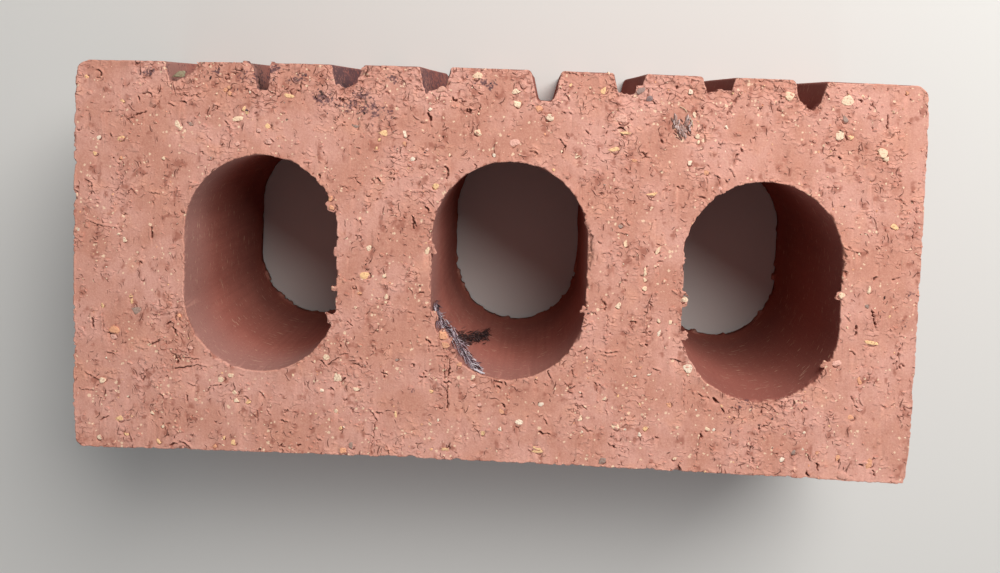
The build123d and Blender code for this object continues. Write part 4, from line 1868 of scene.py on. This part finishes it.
@dataclass
class Stones:
    """Many broken bits joined in one piece: balls with flats cut on them, each in its own colour."""

    name: str
    bed: CutBed
    limits: Limits
    seed: int
    fineness: int = 2
    flats: int = 9
    flat_tilt: float = 1.0
    top_share: float = 0.62
    points: list[Array] = field(default_factory=list)
    tints: list[Array] = field(default_factory=list)
    rng: Rng = field(init=False)

    def __post_init__(self) -> None:
        """Make the ball that every bit starts from."""
        self.rng = np.random.default_rng(self.seed)
        self.template, self.triangles = ball(self.fineness)

    def add(
        self,
        x: float,
        y: float,
        half: Triple,
        yaw: float,
        tint: Colour,
        stand: float,
        top: float | None = None,
    ) -> None:
        """Bed one bit in the clay.

        Args:
            x: Place along the length.
            y: Place across the width.
            half: Half of its length, breadth and height.
            yaw: Turn about the upright, in radians.
            tint: Its colour.
            stand: How far its top stands over the clay round it.
            top: Height of its top, where that isn't reckoned from the bed.
        """
        shape = self.template.copy()
        for _ in range(self.flats):
            way = self.rng.normal(size=3) * (1.0, 1.0, self.flat_tilt)
            way /= np.linalg.norm(way)
            over = np.maximum(shape @ way - self.rng.uniform(0.4, 0.8), 0.0)
            shape -= over[:, None] * way
        shape[:, 2] = np.minimum(shape[:, 2], self.top_share)
        shape *= np.array(half)
        along = (math.cos(yaw), math.sin(yaw), 0.0)
        aside = (-math.sin(yaw), math.cos(yaw), 0.0)
        shape = shape @ np.array([along, aside, (0.0, 0.0, 1.0)])
        if top is None:
            around = np.array([(0, 0), (0.6, 0), (-0.6, 0), (0, 0.6), (0, -0.6)]) * np.array(half[:2])
            clay = self.bed.sample(self.bed.height, x + around[:, 0], y + around[:, 1])
            top = self.height + float(clay.max()) + stand
        shape += np.array([x, y, top - shape[:, 2].max()])
        self.points.append(shape)
        self.tints.append(np.tile(tint, (len(shape), 1)))

    def uneven(self, tint: Colour, spread: float) -> Colour:
        """A colour a little lighter or darker, and a little warmer or cooler.

        Args:
            tint: Colour to start from.
            spread: How far it strays.

        Returns:
            The changed colour.
        """
        light = 1.0 + self.rng.normal(0.0, spread)
        warm = 1.0 + self.rng.normal(0.0, spread / 3)
        return tint[0] * light * warm, tint[1] * light, tint[2] * light / warm

    def scattered(self) -> Place:
        """A random place on the clay, likelier where it is coarse.

        Returns:
            The place along and across.
        """
        while True:
            x = self.rng.uniform(self.bed.xs[0], self.bed.xs[-1])
            y = self.rng.uniform(self.bed.ys[0], self.bed.ys[-1])
            cell = self.bed.cell(x, y)
            on_clay = self.bed.inside[cell] > 0.35
            if on_clay and self.rng.uniform(0.0, 1.1) < self.bed.coarse[cell]:
                return x, y

    @property
    def height(self) -> float:
        """Height of the upper bed's plane in millimetres."""
        return self.limits[1][2] / MM

    def build(self, material: bpy.types.Material, slot: str | None) -> bpy.types.Object:
        """Join the bits into one piece that rides with the brick.

        Args:
            material: Its material.
            slot: Not used.

        Returns:
            The piece.
        """
        count = len(self.points)
        step = len(self.template)
        faces = (self.triangles[None] + np.arange(count)[:, None, None] * step).reshape(-1, 3)
        mesh = mesh_from_arrays(self.name, np.clip(np.concatenate(self.points) * MM, *self.limits), faces)
        mesh.shade_flat()
        paint(mesh, "tint", np.concatenate(self.tints))
        paint(mesh, "broken", np.ones(count * step))
        mesh.materials.append(material)
        piece = add_object(self.name, mesh)
        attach(piece, BODY)
        return piece


@dataclass
class GritGrains:
    """Pale grains of grit in the upper bed: those that can be told apart, and many small ones.

    Their breadths and heights are shares of their own size.
    """

    bed: CutBed
    limits: Limits
    seed: int = 5
    flat_tilt: float = 0.3
    known_half: float = 0.76
    known_height: float = 0.42
    known_highest: float = 0.5
    known_turn: float = 0.25
    known_stand: Place = (0.05, 0.16)
    small_count: int = 480
    small_half: float = 0.26
    small_longest: float = 0.75
    small_breadth: Place = (0.5, 0.95)
    small_height: float = 0.6
    small_stand: Place = (0.03, 0.14)
    small_kinds: tuple[Grit, ...] = (Grit.CREAM, Grit.YELLOW, Grit.ORANGE, Grit.PINK, Grit.WHITE, Grit.GREY)
    small_shares: tuple[float, ...] = (0.26, 0.16, 0.2, 0.22, 0.08, 0.08)

    def add_known(self, stones: Stones) -> None:
        """Add the grains that can be told apart.

        Args:
            stones: Piece that they are added to.
        """
        rng = stones.rng
        for kind, place, (size_x, size_y) in self.bed.readings.grains():
            high = min(self.known_height * min(size_x, size_y), self.known_highest)
            half = (self.known_half * size_x, self.known_half * size_y, high)
            tint = stones.uneven(kind.value, 0.05)
            stones.add(*place, half, rng.normal(0.0, self.known_turn), tint, rng.uniform(*self.known_stand))

    def add_small(self, stones: Stones) -> None:
        """Scatter the small grains.

        Args:
            stones: Piece that they are added to.
        """
        rng = stones.rng
        for _ in range(self.small_count):
            x, y = stones.scattered()
            long = min(self.small_half * rng.lognormal(0.0, SIZE_SPREAD), self.small_longest)
            half = (long, long * rng.uniform(*self.small_breadth), self.small_height * long)
            kind = rng.choice(len(self.small_kinds), p=self.small_shares)
            tint = stones.uneven(self.small_kinds[kind].value, 0.08)
            stones.add(x, y, half, rng.uniform(0.0, math.pi), tint, rng.uniform(*self.small_stand))

    def build(self) -> bpy.types.Object:
        """Make the grains and dress them.

        Returns:
            The piece.
        """
        stones = Stones("grit_grains", self.bed, self.limits, self.seed, flat_tilt=self.flat_tilt)
        self.add_known(stones)
        self.add_small(stones)
        return stones.build(PaintedStone().material("grit"), SLOT)


@dataclass
class ClayCrumbs:
    """Crumbs and scales of the same clay that the wire left standing on the bed.

    Their breadths, heights and stands are shares of their own half length.
    """

    bed: CutBed
    limits: Limits
    material: bpy.types.Material
    seed: int = 6
    count: int = 1700
    half: float = 0.42
    longest: float = 1.3
    breadth: Place = (0.4, 0.8)
    height: float = 0.5
    turn: float = 0.5
    stand: Place = (0.1, 0.7)
    highest_stand: float = 0.34

    def build(self) -> bpy.types.Object:
        """Make the crumbs and dress them.

        Returns:
            The piece.
        """
        stones = Stones("clay_crumbs", self.bed, self.limits, self.seed)
        rng = stones.rng
        for _ in range(self.count):
            x, y = stones.scattered()
            long = min(self.half * rng.lognormal(0.0, SIZE_SPREAD), self.longest)
            half = (long, long * rng.uniform(*self.breadth), self.height * long)
            stand = min(rng.uniform(*self.stand) * long, self.highest_stand)
            stones.add(x, y, half, rng.normal(0.0, self.turn), Grit.PINK.value, stand)
        return stones.build(self.material, SLOT)


@dataclass
class SoilCrumbs:
    """Dark crumbs of soil, most of them beside the third key, and lumps lodged at the keys.

    The crumbs' breadths, heights and stands are shares of their own half length.
    """

    bed: CutBed
    limits: Limits
    seed: int = 7
    half: float = 0.24
    longest: float = 0.6
    breadth: Place = (0.35, 0.8)
    height: float = 0.4
    stand: float = 0.5
    lump_turn: float = 0.3
    widest_spread: float = 20.0
    reach: Place = (108.0, 51.0)
    from_edge: float = 0.2
    tints: tuple[Colour, ...] = (srgb(72, 50, 48), srgb(98, 74, 70), srgb(84, 70, 78), srgb(124, 100, 92))

    def on_clay(self, x: float, y: float) -> bool:
        """Whether a place is on the bed and clear of its edges."""
        within = abs(x) <= self.reach[0] and abs(y) <= self.reach[1]
        return within and self.bed.inside[self.bed.cell(x, y)] >= self.from_edge

    def add_cluster(self, stones: Stones, middle: Place, spread: float, count: int) -> None:
        """Scatter the crumbs of one cluster.

        Args:
            stones: Piece that they are added to.
            middle: Middle of the cluster.
            spread: How far its crumbs lie apart.
            count: Number of its crumbs.
        """
        rng = stones.rng
        placed = 0
        while placed < count:
            x = middle[0] + rng.normal(0.0, spread)
            y = middle[1] + rng.normal(0.0, min(spread, self.widest_spread))
            if not self.on_clay(x, y):
                continue
            long = min(self.half * rng.lognormal(0.0, SIZE_SPREAD), self.longest)
            half = (long, long * rng.uniform(*self.breadth), self.height * long)
            tint = stones.uneven(self.tints[rng.integers(len(self.tints))], 0.1)
            stones.add(x, y, half, rng.uniform(0.0, math.pi), tint, self.stand * long)
            placed += 1

    def build(self) -> bpy.types.Object:
        """Make the lumps and the crumbs and dress them.

        Returns:
            The piece.
        """
        stones = Stones("soil_crumbs", self.bed, self.limits, self.seed)
        for place, drop, half, steps in LODGED_LUMPS:
            turn = stones.rng.uniform(-self.lump_turn, self.lump_turn)
            stones.add(*place, half, turn, srgb(*steps), 0.0, top=stones.height - drop)
        for middle_x, middle_y, spread, count in SOIL_CLUSTERS:
            self.add_cluster(stones, (middle_x, middle_y), spread, count)
        return stones.build(PaintedStone(0.95, 0.3).material("soil"), None)


@dataclass
class Strands:
    """Thin dry strands of plant joined in one piece."""

    name: str
    limits: Limits
    seed: int
    sides: int = 5
    points: list[Array] = field(default_factory=list)
    faces: list[Array] = field(default_factory=list)
    tints: list[Array] = field(default_factory=list)
    total: int = 0
    rng: Rng = field(init=False)

    def __post_init__(self) -> None:
        """Start the seeded numbers."""
        self.rng = np.random.default_rng(self.seed)

    def add(self, path: Array, radius: float, flat: float, tint: Colour) -> None:
        """Sweep one strand, tapered at both ends, along a path.

        Args:
            path: Points of its middle line in millimetres.
            radius: Half of its breadth in the middle.
            flat: Height as a share of its breadth.
            tint: Its colour.
        """
        count = len(path)
        ahead = np.gradient(path, axis=0)
        ahead /= np.linalg.norm(ahead, axis=1)[:, None]
        aside = np.cross(ahead, np.array([0.0, 0.0, 1.0]))
        aside /= np.linalg.norm(aside, axis=1)[:, None] + 1e-9
        over = np.cross(aside, ahead)
        share = np.linspace(0.0, 1.0, count)
        thick = radius * (0.15 + 0.85 * np.sin(math.pi * share) ** 0.5)
        turns = np.linspace(0.0, 2 * math.pi, self.sides, endpoint=False)
        ring = (
            path[:, None]
            + (thick[:, None] * np.cos(turns))[..., None] * aside[:, None]
            + (flat * thick[:, None] * np.sin(turns))[..., None] * over[:, None]
        )
        corners = np.concatenate([ring.reshape(-1, 3), path[:1], path[-1:]])
        rings = np.arange(count * self.sides).reshape(count, self.sides) + self.total
        onwards = np.roll(rings, -1, axis=1)
        first = np.stack([rings[:-1], onwards[:-1], onwards[1:]], axis=-1).reshape(-1, 3)
        second = np.stack([rings[:-1], onwards[1:], rings[1:]], axis=-1).reshape(-1, 3)
        tail = self.total + count * self.sides
        start_cap = np.stack([onwards[0], rings[0], np.full(self.sides, tail)], axis=-1)
        end_cap = np.stack([rings[-1], onwards[-1], np.full(self.sides, tail + 1)], axis=-1)
        self.faces += [first, second, start_cap, end_cap]
        self.points.append(corners)
        self.tints.append(np.tile(tint, (len(corners), 1)))
        self.total += len(corners)

    def build(self) -> bpy.types.Object:
        """Join the strands into one piece that rides with the brick.

        Returns:
            The piece.
        """
        points = np.clip(np.concatenate(self.points) * MM, *self.limits)
        mesh = mesh_from_arrays(self.name, points, np.concatenate(self.faces))
        paint(mesh, "tint", np.concatenate(self.tints))
        mesh.materials.append(PaintedStone(0.85, 0.25, 2600.0).material(self.name))
        piece = add_object(self.name, mesh)
        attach(piece, BODY)
        return piece


@dataclass
class HoleFibres:
    """Grey plant fibres stuck to the wall of the middle perforation, from its rim down."""

    section: ColumnSection
    limits: Limits
    seed: int = 8
    points: int = 9
    flat: float = 0.7
    radii: Place = (0.05, 0.16)
    grey_count: int = 380
    brown_count: int = 260
    brown_depth: float = 14.0
    brown_slope: float = 50.0
    brown_from: float = 224.0
    brown_arc: Place = (221.0, 248.0)
    line_angles: tuple[float, ...] = (183.0, 203.0, 217.0, 227.0, 237.0, 247.0, 255.0)
    line_depths: tuple[float, ...] = (3.6, 9.0, 14.0, 11.0, 7.0, 2.2, 0.7)
    greys: tuple[Colour, ...] = (
        srgb(208, 194, 202), srgb(174, 156, 166), srgb(140, 118, 128), srgb(92, 70, 78), srgb(240, 232, 236),
        srgb(62, 46, 52),
    )
    browns: tuple[Colour, ...] = (srgb(40, 28, 32), srgb(58, 42, 42), srgb(30, 20, 24), srgb(104, 84, 82))

    def lay(self, strands: Strands, turns: Array, depths: Array, tints: tuple[Colour, ...]) -> None:
        """Lay one fibre along the wall.

        Args:
            strands: Piece that it is added to.
            turns: Angles of its points round the front end of the perforation.
            depths: Depths of its points below the upper bed.
            tints: Colours that its own is picked from.
        """
        rng = strands.rng
        centre_x, centre_y = self.section.hole_centres()[1]
        radius = self.section.hole_width / 2
        arc_y = centre_y - (self.section.hole_length / 2 - radius)
        height = self.limits[1][2] / MM
        waves = np.linspace(0.0, rng.uniform(2.0, 7.0), self.points)
        sway = 0.35 * np.sin(waves + rng.uniform(0.0, 6.3))
        inset = radius - 0.2 - np.abs(rng.normal(0.0, 0.3)) - 0.2 * np.abs(sway)
        x = centre_x + inset * np.cos(turns)
        y = arc_y + inset * np.sin(turns)
        z = height - np.maximum(depths + sway, 0.5)
        path = np.stack([x, y, z], axis=1)
        strands.add(path, rng.uniform(*self.radii), self.flat, tints[rng.integers(len(tints))])

    def add_greys(self, strands: Strands) -> None:
        """Lay the grey fibres along the line that they follow round the wall.

        Args:
            strands: Piece that they are added to.
        """
        rng = strands.rng
        angles = np.radians(self.line_angles)
        depths = np.array(self.line_depths)
        for _ in range(self.grey_count):
            low = rng.uniform(angles[0], angles[-2])
            offset = rng.normal(0.0, 2.3)
            tilt = rng.normal(0.0, 24.0)
            high = min(low + rng.uniform(0.03, 0.18), angles[-1])
            turns = np.linspace(low, high, self.points)
            sink = np.interp(turns, angles, depths) + offset + tilt * (turns - low)
            self.lay(strands, turns, sink, self.greys)

    def add_browns(self, strands: Strands) -> None:
        """Lay the brown fibres that lie deeper.

        Args:
            strands: Piece that they are added to.
        """
        rng = strands.rng
        for _ in range(self.brown_count):
            low = rng.uniform(math.radians(self.brown_arc[0]), math.radians(self.brown_arc[1]))
            offset = rng.normal(self.brown_depth, 3.2)
            tilt = rng.normal(self.brown_slope, 40.0)
            start = offset + self.brown_slope * (low - math.radians(self.brown_from))
            turns = np.linspace(low, low + rng.uniform(0.02, 0.1), self.points)
            self.lay(strands, turns, start + tilt * (turns - low), self.browns)

    def build(self) -> bpy.types.Object:
        """Make the fibres and dress them.

        Returns:
            The piece.
        """
        strands = Strands("hole_fibres", self.limits, self.seed)
        self.add_greys(strands)
        self.add_browns(strands)
        return strands.build()


@dataclass
class PlantScrap:
    """A crumpled scrap of dry leaf and straw that lies on the upper bed beside the seventh key."""

    bed: CutBed
    limits: Limits
    seed: int = 9
    points: int = 9
    lengths: Place = (0.7, 1.9)
    radii: Place = (0.12, 0.38)
    flat: float = 0.3
    lit_rise: Place = (0.1, 0.26)
    shaded_rise: Place = (0.0, 0.1)
    lit_from: float = -0.4
    below_bed: float = 0.04
    light: tuple[Colour, ...] = (srgb(190, 158, 150), srgb(206, 180, 174), srgb(172, 138, 128))
    shade: tuple[Colour, ...] = (srgb(134, 98, 88), srgb(112, 76, 68), srgb(150, 114, 104))
    lobes: tuple[tuple[Place, Place, float, int], ...] = (
        ((46.5, 39.5), (0.5, 1.0), -75.0, 26), ((47.7, 37.2), (0.6, 0.8), -60.0, 24),
        ((49.4, 39.3), (0.55, 0.9), -100.0, 26), ((48.5, 38.0), (0.6, 0.6), -80.0, 12),
    )
    straws: tuple[tuple[Place, Place], ...] = (((46.9, 43.9), (49.1, 42.2)), ((49.5, 41.2), (50.7, 38.5)))
    straw_radius: float = 0.13
    straw_flat: float = 0.6
    straw_bow: float = 0.25
    straw_drop: float = 0.12
    straw: Colour = srgb(208, 184, 152)

    @property
    def height(self) -> float:
        """Height of the upper bed's plane in millimetres."""
        return self.limits[1][2] / MM

    def add_lobe(self, strands: Strands, middle: Place, spread: Place, lean: float, count: int) -> None:
        """Lay the short strands of one lobe of the leaf.

        Args:
            strands: Piece that they are added to.
            middle: Middle of the lobe.
            spread: How far its strands lie apart, along and across.
            lean: Way that they point, in degrees.
            count: Number of its strands.
        """
        rng = strands.rng
        for number in range(count):
            off = rng.normal(0.0, 1.0, size=2) * np.array(spread)
            heading = math.radians(lean) + rng.normal(0.0, 0.4)
            along = np.linspace(-0.5, 0.5, self.points) * rng.uniform(*self.lengths)
            bent = rng.normal(0.0, 0.35) * along**2
            x = middle[0] + off[0] + along * math.cos(heading) - bent * math.sin(heading)
            y = middle[1] + off[1] + along * math.sin(heading) + bent * math.cos(heading)
            ground = self.height + self.bed.sample(self.bed.height, x, y)
            # Strands on the side of the lobe towards the lamp take the light tints and stand higher, the
            # rest take the shade tints: painted light and shade
            lit = off[0] / spread[0] + off[1] / spread[1] + rng.normal(0.0, 0.7) > self.lit_from
            tints = self.light if lit else self.shade
            over = rng.uniform(*(self.lit_rise if lit else self.shaded_rise))
            path = np.column_stack([x, y, np.minimum(ground + over, self.height - self.below_bed)])
            strands.add(path, rng.uniform(*self.radii), self.flat, tints[number % len(tints)])

    def add_straw(self, strands: Strands, start: Place, end: Place) -> None:
        """Lay one bowed straw.

        Args:
            strands: Piece that it is added to.
            start: First end.
            end: Other end.
        """
        share = np.linspace(0.0, 1.0, self.points)[:, None]
        line = (1 - share) * np.array(start) + share * np.array(end)
        line = line + self.straw_bow * np.sin(share * math.pi) * np.array((1.0, 1.0))
        path = np.column_stack([line, np.full(self.points, self.height - self.straw_drop)])
        strands.add(path, self.straw_radius, self.straw_flat, self.straw)

    def build(self) -> bpy.types.Object:
        """Make the scrap and dress it.

        Returns:
            The piece.
        """
        strands = Strands("plant_scrap", self.limits, self.seed)
        for lobe in self.lobes:
            self.add_lobe(strands, *lobe)
        for straw in self.straws:
            self.add_straw(strands, *straw)
        return strands.build()


@dataclass(frozen=True)
class Studio:
    """Pale floor, soft light and the camera at the photograph's angle."""

    view: PhotoCamera = SOLVED_CAMERA
    frame_size: tuple[int, int] = (1000, 573)
    sensor: float = 36.0
    floor_reach: float = 3.0

    def camera(self) -> None:
        """Set up the camera that looks down on the brick."""
        data = bpy.data.cameras.new("camera")
        data.sensor_width = self.sensor
        width, height = self.frame_size
        data.lens = self.sensor * self.view.focal / width
        data.shift_x = (width / 2 - self.view.middle[0]) / width
        data.shift_y = (self.view.middle[1] - height / 2) / width
        data.clip_start = 0.01
        camera = bpy.data.objects.new("camera", data)
        camera.rotation_euler = Euler(self.view.turn, "XYZ")
        camera.location = Vector(self.view.place) * MM
        bpy.context.scene.collection.objects.link(camera)
        bpy.context.scene.camera = camera

    def floor(self) -> None:
        """Lay the pale floor, which throws back less light than it shows."""
        reach = self.floor_reach
        corners = np.array([(-reach, -reach, 0), (reach, -reach, 0), (reach, reach, 0), (-reach, reach, 0)])
        floor = add_object("floor", mesh_from_arrays("floor", corners, np.array([[0, 1, 2, 3]])))
        board = NodeBoard("floor")
        rays = board.add("ShaderNodeLightPath").outputs
        mirrored = board.math("MAXIMUM", rays["Is Glossy Ray"], rays["Is Transmission Ray"])
        seen = board.math("MAXIMUM", rays["Is Camera Ray"], mirrored)
        shade = board.mix(seen, srgb(52, 48, 45), srgb(222, 220, 216))
        floor.data.materials.append(board.finish(shade, 0.9, None))

    def light(self, name: str, place: Triple, size: float, power: float, tint: Colour) -> None:
        """Hang one soft lamp that looks at the brick.

        Args:
            name: Name of the lamp.
            place: Where it hangs, in metres.
            size: Length of its sides.
            power: Its power in watts.
            tint: Its colour.
        """
        data = bpy.data.lights.new(name, "AREA")
        data.size = size
        data.energy = power
        data.color = tint
        lamp = bpy.data.objects.new(name, data)
        lamp.location = place
        lamp.rotation_euler = (-Vector(place)).to_track_quat("-Z", "Y").to_euler()
        bpy.context.scene.collection.objects.link(lamp)

    def world(self) -> None:
        """Fill the shadows with an even pale sky."""
        world = bpy.data.worlds.new("sky")
        world.use_nodes = True
        background = world.node_tree.nodes["Background"]
        background.inputs["Color"].default_value = (0.93, 0.96, 1.0, 1.0)
        background.inputs["Strength"].default_value = 0.17
        bpy.context.scene.world = world

    def build(self) -> None:
        """Set up the whole studio."""
        self.camera()
        self.floor()
        self.world()
        self.light("key", (0.272, 0.4165, 0.5185), 0.48, 6.05, (1.0, 0.985, 0.965))
        self.light("fill", (0.0, -0.85, 0.28), 0.6, 2.0, (0.97, 0.985, 1.0))
        bpy.context.scene.view_settings.view_transform = "Standard"


def main() -> None:
    """Build the studio, the brick and what lies in and on it, and log the faces of each piece."""
    logging.basicConfig(level=logging.INFO, format="%(message)s")
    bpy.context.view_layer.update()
    low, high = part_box(NODE)
    limits = (np.array(low), np.array(high))
    length, width, height = 2 * high[0] / MM, 2 * high[1] / MM, high[2] / MM
    section = ColumnSection(length, width)
    upper = CutBed(section, seed=11, readings=BedReadings(height))
    lower = CutBed(section, seed=57, grid_step=0.2, grains=900, hackles=700, hooks=260)
    Studio().build()
    brick = BrickBody(section, height, upper, lower, limits).build()
    pieces = (
        brick,
        GritGrains(upper, limits).build(),
        ClayCrumbs(upper, limits, brick.data.materials[0]).build(),
        SoilCrumbs(upper, limits).build(),
        HoleFibres(section, limits).build(),
        PlantScrap(upper, limits).build(),
    )
    for piece in pieces:
        log.info("%s: %d faces", piece.name, len(piece.data.polygons))


if __name__ == "__main__":
    main()
